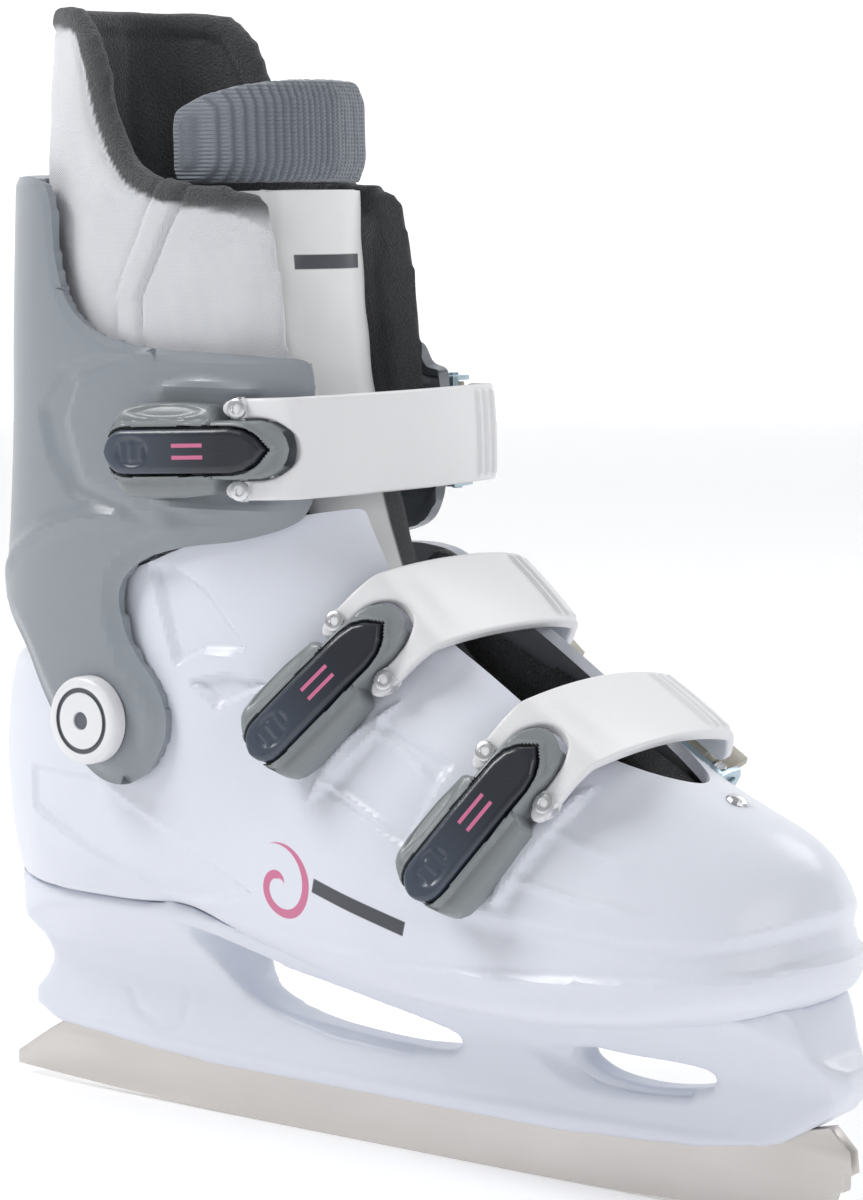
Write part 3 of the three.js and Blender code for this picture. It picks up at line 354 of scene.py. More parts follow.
def leg_rings(rows, power=2.25, count=128, layers=60, inset=0.0):
    """Rows are height, back, front and half width."""
    rows = np.asarray(rows, float)
    at = np.linspace(rows[0, 0], rows[-1, 0], layers)
    across, along, _ = superellipse(power, count)
    rings = []
    for z, (back, front, half) in zip(at, smooth_rows(rows[:, 0], rows[:, 1:], at)):
        x = (back + front) / 2 + ((front - back) / 2 - inset) * across
        rings.append(np.stack([x, (half - inset) * along, np.full(count, z)], 1))
    return rings


HEEL = [
    [HEEL_LOW, boot_back + 8, boot_back + 95, ankle_half - 9],
    [HEEL_LOW + 5, boot_back + 5, boot_back + 115, ankle_half - 6.5],
    [HEEL_LOW + 18, boot_back + 2, boot_back + 140, ankle_half - 3.5],
    [HEEL_LOW + 38, boot_back, boot_back + 155, ankle_half - 2],
    [pivot_z, boot_back + 2, boot_back + 160, ankle_half - 1.2],
    [pivot_z + 14, boot_back + 6, boot_back + 160, ankle_half - 1],
]


def arc_back(z):
    return pivot_x - math.sqrt(max(47.0 ** 2 - (z - pivot_z) ** 2, 15.0 ** 2))


ANKLE = [
    [pivot_z - 20, arc_back(pivot_z - 20), pivot_x + 102, ankle_half - 1],
    [pivot_z, arc_back(pivot_z), pivot_x + 106, ankle_half],
    [pivot_z + 15, arc_back(pivot_z + 15), pivot_x + 106, ankle_half],
    [pivot_z + 30, arc_back(pivot_z + 30), pivot_x + 103, ankle_half],
    [pivot_z + 44, pivot_x - 34, pivot_x + 96, ankle_half],
    [pivot_z + 58, pivot_x - 31, pivot_x + 87, ankle_half],
    [pivot_z + 72, pivot_x - 28, pivot_x + 81, ankle_half],
]
THROAT_TOE = np.array([boot_back + 0.845 * boot_length, ball_height + 62])
THROAT_HEAD = np.array([pivot_x + 80, pivot_z + 62])
THROAT_HALF = 22.0


def throat_cutter():
    """The slit over the instep, square to the instep's slope."""
    length = np.linalg.norm(THROAT_TOE - THROAT_HEAD)
    slope = (THROAT_TOE - THROAT_HEAD) / length
    down = Vector((slope[0], 0, slope[1]))
    across = Vector((0, 1, 0))
    out = down.cross(across)
    matrix = Matrix((down, across, out)).transposed().to_4x4()
    matrix.translation = Vector((THROAT_HEAD[0], 0, THROAT_HEAD[1])) * MM
    half = THROAT_HALF
    outline = smooth_path([
        [-60, half], [0, half], [length * 0.45, half], [length * 0.8, half * 0.82], [length, 0],
        [length * 0.8, -half * 0.82], [length * 0.45, -half], [0, -half], [-60, -half],
    ], 110, closed=True)
    return prism("throat_cutter", outline, -26, 44, matrix, axis="z")


def rim_cutter(side, corner):
    """All above the shell's edge on one side, which climbs from the heel to the instep."""
    edge = smooth_path([[-96, 26], [-60, 27], [-26, 30], [12, 43], *corner], 60)
    outline = [(pivot_x + x, pivot_z + z) for x, z in edge]
    outline += [(pivot_x + 134, 400), (pivot_x - 96, 400)]
    return prism("rim_cutter", outline, *sorted((0, side * 90)))


def even_rim(work, rounds):
    """Slides the corners along an open edge so that the edge runs smoothly."""
    rim = {}
    for edge in work.edges:
        if edge.is_boundary:
            for vert in edge.verts:
                rim.setdefault(vert, []).append(edge.other_vert(vert))
    for _ in range(rounds):
        moved = {v: v.co * 0.5 + (n[0].co + n[1].co) * 0.25 for v, n in rim.items() if len(n) == 2}
        for vert, place in moved.items():
            vert.co = place


def open_by(piece, *cutters):
    """Cuts a closed skin and takes away the cut faces, which leaves it open there."""
    plain = bpy.data.materials.new("skin")
    removed = bpy.data.materials.new("cut")
    piece.data.materials.append(plain)
    piece.data.materials.append(removed)
    for cutter in cutters:
        cutter.data.materials.append(plain)
        cutter.data.materials.append(removed)
        for face in cutter.data.polygons:
            face.material_index = 1
        cut(piece, cutter)
    work = bmesh.new()
    work.from_mesh(piece.data)
    bmesh.ops.delete(work, geom=[f for f in work.faces if f.material_index == 1], context="FACES")
    bmesh.ops.remove_doubles(work, verts=work.verts, dist=0.3 * MM)
    bmesh.ops.dissolve_degenerate(work, dist=0.05 * MM, edges=work.edges)
    even_rim(work, 8)
    work.to_mesh(piece.data)
    work.free()
    piece.data.materials.clear()
    return piece


def give_wall(piece, thickness, edge=0.7):
    """Gives an open skin its wall inwards, with a rounded rim."""
    pick(piece)
    finish_with(piece, "SOLIDIFY", thickness=thickness * MM, offset=-1, use_even_offset=False,
                bevel_convex=1.0)
    finish_with(piece, "BEVEL", width=edge * MM, segments=2, limit_method="WEIGHT",
                use_clamp_overlap=True)
    return piece


def on_side(y):
    """1 on the flank of the boot, either side, and 0 along its top and sole."""
    return step(12, 22, np.abs(y))


UPPER_LEDGE = ([-20, 20, 57, 85, 110, 128, 141], [86, 83, 80, 78, 76.5, 78.5, 82])
LOWER_LEDGE = ([-80, -10, 45, 57, 85, 110, 128, 141], [72, 66, 65, 65.5, 67.5, 69, 70.5, 73])
LEAF_RIDGES = [
    [(1, 104), (5, 114), (12, 122), (21, 129), (27, 133), (26, 130), (21, 122), (14, 115), (8, 108)],
    [(64, 84), (66, 93), (68, 100), (73, 107), (78, 112), (82, 114), (81, 109), (77, 101), (72, 92),
     (68, 85)],
]
STEP_LINES = [
    [(22, 124), (32, 119), (42, 113)], [(7, 110), (20, 104.5), (33, 99)],
    [(78, 103), (90, 98), (104, 95)], [(71, 91), (89, 87), (110, 85)],
]
VENTS = [
    [(-58, 164), (-50, 164.5), (-37, 158), (-23, 142.5), (-28, 141.5), (-38, 141), (-48, 136)],
    [(-43, 132.5), (-37, 134), (-30, 135.5), (-16, 134), (-33, 126)],
]
HEEL_ARROW = [
    (-82, 102), (-74, 98), (-52, 89), (-20, 76), (-45, 70), (-60, 72), (-110, 90), (-110, 102),
]


def shell_relief(x, y, z):
    """The mouldings of the shell's flanks: ledges round the toe, leaves, panels and vents."""
    lift = np.zeros_like(x)
    upper = smooth_line(*UPPER_LEDGE, x)
    lower = smooth_line(*LOWER_LEDGE, x)
    toeward = step(10, 62, x)
    groove = (1 - step(-2.5, 3.0, z - upper)) * step(-1.0, 0.9, z - lower)
    lift -= 2.1 * groove * toeward * (0.55 + 0.45 * step(0, 1, (z - lower) / (upper - lower)))
    bulge = (1 - step(-1.0, 0.9, z - lower)) * step(-70, 20, x)
    lift += 0.8 * bulge * step(4, 12, z - ball_height + 4)
    side = on_side(y)
    for outline in LEAF_RIDGES:
        depth = inside_depth(x, z, outline)
        lift += 2.0 * step(-0.8, 1.7, depth) * side
    for path in STEP_LINES:
        distance, along = line_depth(x, z, path)
        taper = 1 - step(0.7, 1.0, along)
        lift += 0.8 * (1 - step(0.2, 1.9, distance)) * side * taper
    panel = [(20, 128), (45, 118), (36, 96), (5, 108)]
    lift -= 0.9 * step(-0.6, 0.9, inside_depth(x, z, panel)) * side
    for outline in VENTS:
        lift -= 2.2 * step(-0.5, 1.5, inside_depth(x, z, outline)) * side
    lift -= 1.1 * step(-0.6, 1.0, inside_depth(x, z, HEEL_ARROW)) * side
    return lift


def soften(piece, region, rounds):
    """Smooths a piece where region(x, y, z) is high."""
    weight = region(*places(piece).T)
    group = piece.vertex_groups.new(name="soft")
    for level in range(1, 11):
        chosen = np.nonzero(np.round(weight * 10) == level)[0].tolist()
        if chosen:
            group.add(chosen, level / 10, "REPLACE")
    finish_with(piece, "SMOOTH", factor=0.5, iterations=rounds, vertex_group=group.name)
    piece.vertex_groups.clear()


def everywhere(x, y, z):
    return np.ones_like(x)


def instep_region(x, y, z):
    return step(-45, -25, x) * (1 - step(60, 80, x)) * step(92, 104, z)


def heel_region(x, y, z):
    return (1 - step(-60, -20, x)) * step(80, 95, z) * (1 - step(110, 125, z))


def make_shell():
    foot = closed_loft("shell_moulding", foot_rings())
    heel = closed_loft("heel", leg_rings(HEEL))
    ankle = closed_loft("ankle", leg_rings(ANKLE))
    shell = join(foot, heel, ankle)
    finish_with(shell, "REMESH", mode="VOXEL", voxel_size=2.7 * MM)
    soften(shell, everywhere, 5)
    soften(shell, instep_region, 30)
    soften(shell, heel_region, 12)
    raise_surface(shell, lambda x, y, z: np.full_like(x, 0.35))
    finish_with(shell, "SUBSURF", levels=1, render_levels=1)
    raise_surface(shell, shell_relief)
    outer_corner = [[46, 55], [82, 62], [134, 63]]
    inner_corner = [[42, 46], [66, 46], [88, 39], [108, 33], [134, 32]]
    open_by(shell, throat_cutter(), rim_cutter(-1, outer_corner), rim_cutter(1, inner_corner))
    give_wall(shell, wall)
    smooth_look(shell, 50)
    return settle(shell, "shell", "shell_plastic", "shell")


# ---- cuff -----------------------------------------------------------------------------
CUFF_HALF = ankle_half + 5.0
CUFF = [[z, pivot_x + back, pivot_x + front, half] for z, back, front, half in [
    (pivot_z - 26, -56, 76, CUFF_HALF), (pivot_z, -57, 79, CUFF_HALF),
    (pivot_z + 28, -56.5, 83, CUFF_HALF), (pivot_z + 52, -54, 86, CUFF_HALF + 0.5),
    ((pivot_z + cuff_height) / 2 + 5, -52, 87, CUFF_HALF + 1),
    (cuff_height - 43, -51, 86, CUFF_HALF + 1.5), (cuff_height + 3, -48.5, 83, CUFF_HALF + 2),
]]


def cuff_edge(front, corner):
    return smooth_path([(pivot_x + x, z) for x, z in [
        (front, corner), (front + 0.5, corner - 22), (front - 2, corner - 41),
        (front - 18, corner - 48),
        (33, pivot_z + 50), (16, pivot_z + 45), (8, pivot_z + 36), (12, pivot_z + 22),
        (22, pivot_z + 10), (25, pivot_z), (21, pivot_z - 10), (11, pivot_z - 18), (0, pivot_z - 17),
        (-12, pivot_z - 8), (-23, pivot_z + 5), (-32, pivot_z + 17), (-44, pivot_z + 27),
        (-60, pivot_z + 34), (-64, pivot_z + 90), (-63, cuff_height - 2), (-38, cuff_height),
        (-18, cuff_height - 2), (-14, cuff_height - 22), (-9, cuff_height - 34),
        (2, cuff_height - 42), (22, cuff_height - 46), (49, cuff_height - 47),
        (front - 7, corner + 1),
    ]], 150, closed=True)


def cuff_cutter(side, outline):
    low, high = sorted((0, side * 90))
    block = prism("block", [(-250, 60), (150, 60), (150, 340), (-250, 340)], low, high)
    return cut(block, prism("window", outline, -95, 95))


CUFF_POD = [(-61, 219), (-78, 214), (-83, 203), (-77, 187), (-53, 178)]
CUFF_POD_OUTER = [(-58, 223), (-86, 217), (-96, 206), (-92, 193), (-82, 182), (-53, 175)]
CUFF_SWEEP = [(-128, 150), (-111, 164), (-97, 171), (-83, 175), (-60, 178.5), (-45, 180)]
CUFF_LENSES = [[(-50, 213), (-33, 214.5), (-14, 213)], [(-50, 182.5), (-33, 180.5), (-12, 182)]]


def cuff_relief(outlines):
    def lift_of(x, y, z):
        depth = np.where(y < 0, inside_depth(x, z, outlines[0]), inside_depth(x, z, outlines[1]))
        lower = (1 - step(pivot_z + 70, pivot_z + 84, z)) * step(-118, -106, x)
        lift = -1.9 * (1 - step(0.5, 5.5, depth)) * lower
        lift -= 0.9 * (1 - step(0.0, 2.6, depth)) * (1 - lower)
        side = on_side(y)
        crescent = CUFF_POD_OUTER + CUFF_POD[::-1]
        lift -= 1.5 * step(-1.0, 3.0, inside_depth(x, z, crescent)) * side
        distance, along = line_depth(x, z, CUFF_SWEEP)
        fade = step(0, 0.2, along) * (1 - step(0.7, 1, along))
        lift += 1.1 * (1 - step(0.3, 3.2, distance)) * fade
        for path in CUFF_LENSES:
            distance, along = line_depth(x, z, path)
            thick = 3.2 * np.sqrt(np.clip(4 * along * (1 - along), 0.02, 1))
            lift += 1.3 * (1 - step(0.1, 1.0, distance / thick)) * side
        return lift
    return lift_of


def make_cuff():
    outlines = [cuff_edge(70.5, cuff_height - 49), cuff_edge(59, cuff_height - 54)]
    cuff = closed_loft("cuff_moulding", leg_rings(CUFF, power=2.8, count=260, layers=110))
    raise_surface(cuff, cuff_relief(outlines))
    open_by(cuff, cuff_cutter(-1, outlines[0]), cuff_cutter(1, outlines[1]))
    give_wall(cuff, wall, edge=0.9)
    smooth_look(cuff, 50)
    return settle(cuff, "cuff", "cuff_plastic", "cuff")


# ---- blade holder and blade -----------------------------------------------------------
FRONT_SCOOP = [(46, 39), (54, 32), (62, 28.5), (76, 28), (100, 30), (104, 37), (66, 39)]
REAR_SCOOP = [
    (-62, 62), (-40, 55), (-30, 51), (-40, 36), (-20, 29.5), (8, 28.5), (16, 36), (-20, 37), (-52, 42),
]
HEEL_SCOOP = [(-95, 34), (-93, 28), (-85, 23.5), (-76, 26), (-72, 36)]
LIP_HEIGHT, LIP_RISE, LIP_REACH = 18.5, 3, 145.5


def holder_relief(x, z):
    """Scoops that lead into the two windows, and the lip along the steel."""
    front = step(-1.0, 3.5, inside_depth(x, z, FRONT_SCOOP)) * (0.3 + 0.7 * step(44, 68, x))
    lift = -3.2 * front
    lift -= 2.2 * step(-1.0, 4.0, inside_depth(x, z, REAR_SCOOP))
    from_lip = np.abs(z - LIP_HEIGHT - (x / LIP_REACH) ** 2 * LIP_RISE)
    lift += 0.5 * (1 - step(0.6, 2.4, from_lip))
    from_heel_scoop, _ = line_depth(x, z, HEEL_SCOOP)
    lift -= 0.8 * (1 - step(0.4, 2.0, from_heel_scoop))
    return lift


def make_holder():
    holder = copy_of("blade_holder", "holder_moulding")
    finish_with(holder, "REMESH", mode="VOXEL", voxel_size=1.25 * MM)
    soften(holder, lambda x, y, z: step(3.2, 6.0, np.abs(y)) * 0.9 + 0.1, 14)
    raise_surface(holder, lambda x, y, z: holder_relief(x, z) * step(3.5, 6, np.abs(y)))
    soften(holder, lambda x, y, z: step(3.5, 6.0, np.abs(y)), 2)
    smooth_look(holder, 60)
    return settle(holder, "shell", "shell_plastic", "blade_holder")


def make_blade():
    blade = copy_of("blade", "blade_runner")
    finish_with(blade, "DECIMATE", decimate_type="DISSOLVE", angle_limit=math.radians(1))
    finish_with(blade, "BEVEL", width=0.3 * MM, segments=2, limit_method="ANGLE",
                angle_limit=math.radians(50))
    smooth_look(blade, 30)
    return settle(blade, "shell", "blade_steel", "blade")


# ---- liner ----------------------------------------------------------------------------
COLLAR = [[z, pivot_x + back, pivot_x + front, half] for z, back, front, half in [
    (pivot_z + 20, -45, 73, ankle_half - 4.2), (pivot_z + 72, -45, 74, ankle_half - 4.2),
    (pivot_z + 88, -46, 75, ankle_half),
    ((pivot_z + cuff_height) / 2 + 40, -46, 73, ankle_half + 0.8),
    (cuff_height - 8, -44.5, 66, ankle_half + 0.5), (cuff_height + 20, -43, 56, ankle_half - 0.5),
    (spoiler_height, -40, 48, ankle_half - 2),
]]
COLLAR_SIDE = smooth_path([(pivot_x + x, z) for x, z in [
    (68, pivot_z + 20), (78, pivot_z + 60), (74, cuff_height - 50), (71, cuff_height - 32),
    (64, cuff_height - 16), (48, cuff_height - 4), (26, cuff_height), (12, cuff_height + 5),
    (3, cuff_height + 18), (-3, spoiler_height - 16), (-11, spoiler_height - 4),
    (-30, spoiler_height - 1), (-64, spoiler_height - 4), (-68, pivot_z + 100),
    (-63, pivot_z + 10), (14, pivot_z),
]], 140, closed=True)
COLLAR_SEAM = [(-49, 268), (-56, 253), (-64, 237), (-62, 220)]
LINER_SPLIT = 45.5


PUFF_FRAMES = 20


def puffed(piece, voxel, cap):
    """Blows a soft piece up a little with cloth pressure, no further than the cap."""
    finish_with(piece, "REMESH", mode="VOXEL", voxel_size=voxel * MM)
    before = places(piece)
    pick(piece)
    cloth = piece.modifiers.new("Puff", "CLOTH")
    cloth.settings.use_pressure = True
    cloth.settings.uniform_pressure_force = 4
    cloth.settings.effector_weights.gravity = 0
    cloth.point_cache.frame_start, cloth.point_cache.frame_end = 1, PUFF_FRAMES
    for number in range(1, PUFF_FRAMES + 1):
        bpy.context.scene.frame_set(number)
    bpy.ops.object.modifier_apply(modifier=cloth.name)
    bpy.context.scene.frame_set(1)
    move = places(piece) - before
    far = np.linalg.norm(move, axis=1)
    keep = np.minimum(1, cap / np.maximum(far, 1e-6))
    set_places(piece, before + move * keep[:, None])
    finish_with(piece, "SUBSURF", levels=1, render_levels=1)
    return piece


def wedge(start, end):
    """A sector round the ankle pin, from one angle to another, in degrees."""
    reach = 400
    turns = np.radians(np.linspace(start, end, 24))
    arc = [(pivot_x + reach * math.cos(t), pivot_z + reach * math.sin(t)) for t in turns]
    return prism("sector", [(pivot_x, pivot_z)] + arc, -90, 90)


def collar_relief(x, y, z):
    """The folded seam down the outer side, the rim's rolled binding and a soft crease inside."""
    depth = inside_depth(x, z, COLLAR_SIDE)
    seam, along = line_depth(x, z, COLLAR_SEAM)
    outer = step(30, 34, np.abs(y))
    lift = 0.9 * (1 - step(2.6, 4.2, seam)) * outer
    lift -= 0.7 * (1 - step(0.2, 0.9, np.abs(seam - 4.6))) * outer
    ring = step(cuff_height - 20, cuff_height, z)
    lift += 0.7 * step(1, 3, depth) * (1 - step(6.0, 7.4, depth)) * ring
    lift -= 0.7 * (1 - step(0.2, 1.0, np.abs(depth - 8.2))) * ring
    lift += 0.25 * np.sin(x * 0.31 + z * 0.11) * np.sin(z * 0.23 - y * 0.2)
    return lift


def make_collar():
    skin, pad = 0.9, 5.3
    collar = closed_loft("liner_collar_pad", leg_rings(COLLAR, count=120, inset=skin))
    rows = [list(row) for row in COLLAR]
    rows[0][0] -= 20
    rows[-1][0] += 20
    cut(collar, closed_loft("leg_room", leg_rings(rows, count=120, inset=pad)))
    cut(collar, prism("side", COLLAR_SIDE, -60, 60), "INTERSECT")
    front = [(pivot_x + 29, pivot_z - 10), (pivot_x + 134, pivot_z - 10), (pivot_x + 134, 350),
             (pivot_x + 29, 350)]
    cut(collar, prism("tongue_room", front, -27, 27))
    cut(collar, wedge(LINER_SPLIT, 178), "INTERSECT")
    puffed(collar, 2.6, 1.2)
    raise_surface(collar, collar_relief)
    smooth_look(collar, 60)
    return settle(collar, "cuff", "liner_fabric", "liner_collar")


def make_liner_foot():
    foot = copy_of("liner_foot", "liner_foot_pad")
    corner = [(-18, 171), (6, 164), (20, 158), (34, 150), (60, 150), (60, 230), (-18, 230)]
    cut(foot, prism("flap_corner", corner, 0, 90))
    finish_with(foot, "REMESH", mode="VOXEL", voxel_size=2.2 * MM)
    soften(foot, everywhere, 8)
    smooth_look(foot, 60)
    return settle(foot, "shell", "liner_fabric", "liner_foot")


def make_insole():
    insole = copy_of("insole", "footbed")
    finish_with(insole, "REMESH", mode="VOXEL", voxel_size=1.5 * MM)
    soften(insole, everywhere, 4)
    smooth_look(insole, 60)
    return settle(insole, "shell", "fleece", "insole")


# ---- tongue ---------------------------------------------------------------------------
TONGUE_LINE = np.array([
    (85.9, 97), (61.5, 107), (41.5, 118.5), (29, 130), (15, 143.5), (0, 162), (-7, 182),
    (-13, 197), (-17, 212), (-20, 240), (-21, 268), (-22, 298),
], float)
TONGUE_BEND = [26, 26, 26, 26, 26, 27, 28, 29, 30, 31.5, 32, 32]
TONGUE_WRAP = [24, 32, 38, 42, 45, 47, 49, 52, 56, 62, 61.5, 61.5]
TONGUE_SPOTS = 1200


def tongue_rings(first, last, layers, thickness, count=72, fatter=0.0, wider=0.0):
    keys = np.arange(len(TONGUE_LINE))
    at = np.linspace(first, last, layers) * keys[-1]
    line = smooth_path(TONGUE_LINE, TONGUE_SPOTS + 1)
    chord = distances(TONGUE_LINE)
    share = np.interp(at, keys, chord) / chord[-1] * TONGUE_SPOTS
    numbers = np.arange(TONGUE_SPOTS + 1)
    spots = np.stack([np.interp(share, numbers, line[:, i]) for i in range(2)], 1)
    along = np.gradient(spots, axis=0)
    along /= np.linalg.norm(along, axis=1)[:, None]
    bends = np.interp(at, keys, TONGUE_BEND)
    wraps = np.interp(at, keys, TONGUE_WRAP) + wider
    turn = np.arange(count) / count * 2 * np.pi
    across = np.sign(np.cos(turn)) * np.abs(np.cos(turn)) ** 0.4
    through = np.sign(np.sin(turn)) * np.abs(np.sin(turn)) ** 0.7
    rings = []
    for i in range(layers):
        end = math.sin(math.pi * (i + 0.5) / layers)
        half = thickness / 2 + fatter / 2 * end
        close = min(1.0, 0.35 + 2.2 * min(i, layers - 1 - i) / layers * (thickness / 4))
        sector = np.radians(wraps[i] - 3 * (1 - close)) * across
        radius = bends[i] - thickness / 2 - fatter / 2 * end + half * close * through
        depth = bends[i] - radius * np.cos(sector)
        back = np.array([-along[i, 1], along[i, 0]])
        back = -back if back[0] > 0 else back
        rings.append(np.stack([spots[i, 0] + back[0] * depth, radius * np.sin(sector),
                               spots[i, 1] + back[1] * depth], 1))
    return rings


def make_tongue():
    tongue = closed_loft("tongue_moulding", tongue_rings(0.0, 0.905, 150, 5.2))
    raise_surface(tongue, lambda x, y, z: 0.3 * np.sin(z * 0.35 + x * 0.2) * np.cos(y * 0.12) - 0.2)
    seam = np.abs(np.abs(places(tongue)[:, 1]) - 20)
    raise_surface(tongue, lambda x, y, z: -0.5 * (1 - step(0.3, 1.2, seam)) * step(150, 170, z))
    smooth_look(tongue, 60)
    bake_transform(tongue)
    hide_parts("tongue_lower", "tongue_upper")
    return tongue


KNIT_RIB = 1.9


def make_tongue_pad():
    rings = tongue_rings(0.912, 0.998, 40, 6.0, count=140, fatter=1.6, wider=35.5)
    pad = closed_loft("tongue_pad", rings)
    puffed(pad, 1.6, 0.5)
    x, y, z = places(pad).T
    side = np.abs(np.arctan2(y, x + 54)) / math.radians(100)
    low = z.min()
    set_places(pad, np.stack([x, y, low + (z - low) * (1 - 0.34 * np.clip(side, 0, 1.1) ** 3)], 1))
    rib = 2 * np.pi / KNIT_RIB
    raise_surface(pad, lambda x, y, z: 0.28 * np.sin(y * rib) * step(3, 8, z - 262) - 0.1)
    smooth_look(pad, 70)
    return settle(pad, "cuff", "rib_knit", "tongue_top_pad")


# ---- buckles --------------------------------------------------------------------------
# A buckle's own frame: u from its tail to its nose, w across it and n out from the boot.
BUCKLES = {"top": (40, 5.0), "middle": (37, 3.0), "front": (39, 3.5)}
HINGE_ALONG, HINGE_UP = 50.0, 3.0
PIN_ALONG, PIN_UP = 42.0, 4.8
STRAP_HALF, ARM_MIDDLE = 13.6, 10.95


def buckle_frame(name):
    hinge = Vector(JOINTS[name + "_lever_hinge"]["pos_m"]) / MM
    pin = Vector(JOINTS[name + "_strap_hinge"]["pos_m"]) / MM
    across = Vector(JOINTS[name + "_lever_hinge"]["axis"]).normalized()
    reach = hinge - pin
    along = (reach * 8 + reach.cross(across) * 1.8).normalized()
    out = along.cross(across)
    matrix = Matrix((along, across, out)).transposed().to_4x4()
    matrix.translation = (hinge - along * HINGE_ALONG - out * HINGE_UP) * MM
    return matrix


def mirrored(matrix):
    """The same frame on the inner side of the boot."""
    along, out = matrix.col[0].xyz, matrix.col[2].xyz
    along.y, out.y = -along.y, -out.y
    other = Matrix((along, out.cross(along), out)).transposed().to_4x4()
    place = matrix.translation.copy()
    place.y = -place.y
    other.translation = place
    return other


def plan_half(rows, u):
    return np.interp(u, [row[0] for row in rows], [row[1] for row in rows])


def button_outline(grow):
    half = 6.0 + grow
    tail, end = 1.5, 51.5 + grow
    arc = np.radians(np.linspace(90, 270, 19))
    left = tail - grow + half
    points = [(left + half * math.cos(t), half * math.sin(t)) for t in arc]
    points += [(end - 10, -half), (end - 6, -half * 0.88), (end - 2.6, -half * 0.55), (end, 0),
               (end - 2.6, half * 0.55), (end - 6, half * 0.88), (end - 10, half)]
    return points


LEVER_PLAN = [
    (1.6, 0.2), (1.9, 3.5), (2.5, 6), (3.3, 8.6), (4, 10.2), (5, 11.4), (7, 12.3), (12, 12.9),
    (24, 12.8), (33.2, 12.0), (34.2, 11.2), (35.0, 9.4), (35.6, 7.9), (49, 7.7), (52, 6.9),
    (54.5, 5.3), (56.2, 2.8), (57, 0.2),
]
BUTTON_PLAN = [
    (1.5, 0.1), (1.7, 1.5), (2.2, 2.8), (3.0, 3.9), (4.2, 4.9), (5.8, 5.7), (7.5, 6.0),
    (41.5, 6.0), (45.5, 5.3), (48.9, 3.3), (51.5, 0.1),
]


def rows_of(plan):
    inner = np.arange(plan[0][0] + 0.6, plan[-1][0] - 0.6, 0.6)
    ends = np.array([plan[0][0] + 0.3, plan[-1][0] - 0.3])
    return np.unique(np.concatenate([inner, ends, [row[0] for row in plan]]))


def lever_top(u, w, half):
    height = np.interp(u, [0, 6, 34, 46, 51, 57], [7.8, 9.9, 10.0, 9.6, 8.6, 6.0])
    button = -inside_depth(u, w, button_outline(0))
    wing = step(1.2, 2.4, button)
    spread = np.clip((np.abs(w) - 8.0) / np.maximum(half - 8.0, 1), 0, 1)
    height = height - wing * (0.9 + 1.7 * spread ** 2) * (u < 38)
    height += 0.9 * (1 - step(1.5, 2.1, button))
    scoop = ((u - 20) / 11) ** 2 + ((w - 10.6) / 1.7) ** 2
    height -= 0.8 * (1 - step(0.5, 1.3, scoop))
    edge = np.clip(half - np.abs(w), 0, 1.3)
    height -= 1.3 - np.sqrt(np.maximum(1.69 - (1.3 - edge) ** 2, 0))
    floor = np.where(u < 27, 5.4, 7.0)
    return np.where(button < 0.65, floor, height)


def slab(name, plan, columns, top_of, bottom_of):
    """A closed body over a plan, with its own height above and below each point."""
    rings = []
    for u in rows_of(plan):
        half = float(plan_half(plan, u))
        spread = np.sin(np.linspace(-np.pi / 2, np.pi / 2, columns) * 0.86)
        w = spread / math.sin(0.43 * np.pi) * half
        flat = np.full(columns, u)
        top, bottom = top_of(flat, w, half), bottom_of(flat, w)
        upper = np.stack([flat, w, np.maximum(top, bottom + 0.4)], 1)
        lower = np.stack([flat, w, bottom], 1)[::-1]
        rings.append(np.vstack([upper, lower]))
    return closed_loft(name, rings)


def bar_across(radius, u, n, half):
    sides = 24
    turns = np.arange(sides) / sides * 2 * np.pi
    ring = np.stack([u + radius * np.cos(turns), np.zeros(sides), n + radius * np.sin(turns)], 1)
    return closed_loft("bar", [ring + (0, w, 0) for w in (-half, half)])


def make_lever(name, matrix):
    def bottom(u, w):
        low = np.interp(u, [0, 8, 57], [4.2, 1.0, 1.0])
        hinge_room = (u > 44.6) & (np.abs(w) < 5.2)
        return np.where(hinge_room, 6.1, low)
    lever = slab(name + "_lever_arm", LEVER_PLAN, 84, lever_top, bottom)
    cut(lever, bar_across(1.65, PIN_ALONG, PIN_UP, 20))
    cut(lever, bar_across(1.75, HINGE_ALONG, HINGE_UP, 20))
    lever.data.transform(matrix)
    smooth_look(lever, 35)
    return settle(lever, name + "_lever", "lever_plastic", name + "_lever")


def make_button(name, matrix):
    def top(u, w, half):
        stations = [0, 4, 12, 26, 38, 48, 52]
        height = np.interp(u, stations, [10.8, 11.6, 12.2, 12.6, 12.4, 11.5, 10.2])
        edge = np.clip(half - np.abs(w), 0, 1.8)
        height -= 0.75 * (1.8 - np.sqrt(np.maximum(3.24 - (1.8 - edge) ** 2, 0)))
        thumb = ((u - 11) / 5.5) ** 2 + (w / 4.2) ** 2
        height -= 0.5 * (1 - step(0.6, 1.1, thumb))
        ribs = 0.35 * np.clip(np.cos((u - 11) * 2 * np.pi / 3.2) * 2, 0, 1)
        return height + ribs * (np.abs(u - 11) < 4.0) * (1 - step(2.2, 3.0, np.abs(w)))

    button = slab(name + "_button_cap", BUTTON_PLAN, 34, top, lambda u, w: np.full_like(u, 7.35))
    button.data.transform(matrix)
    smooth_look(button, 40)
    return settle(button, name + "_lock_button", "button_plastic", name + "_lock_button")


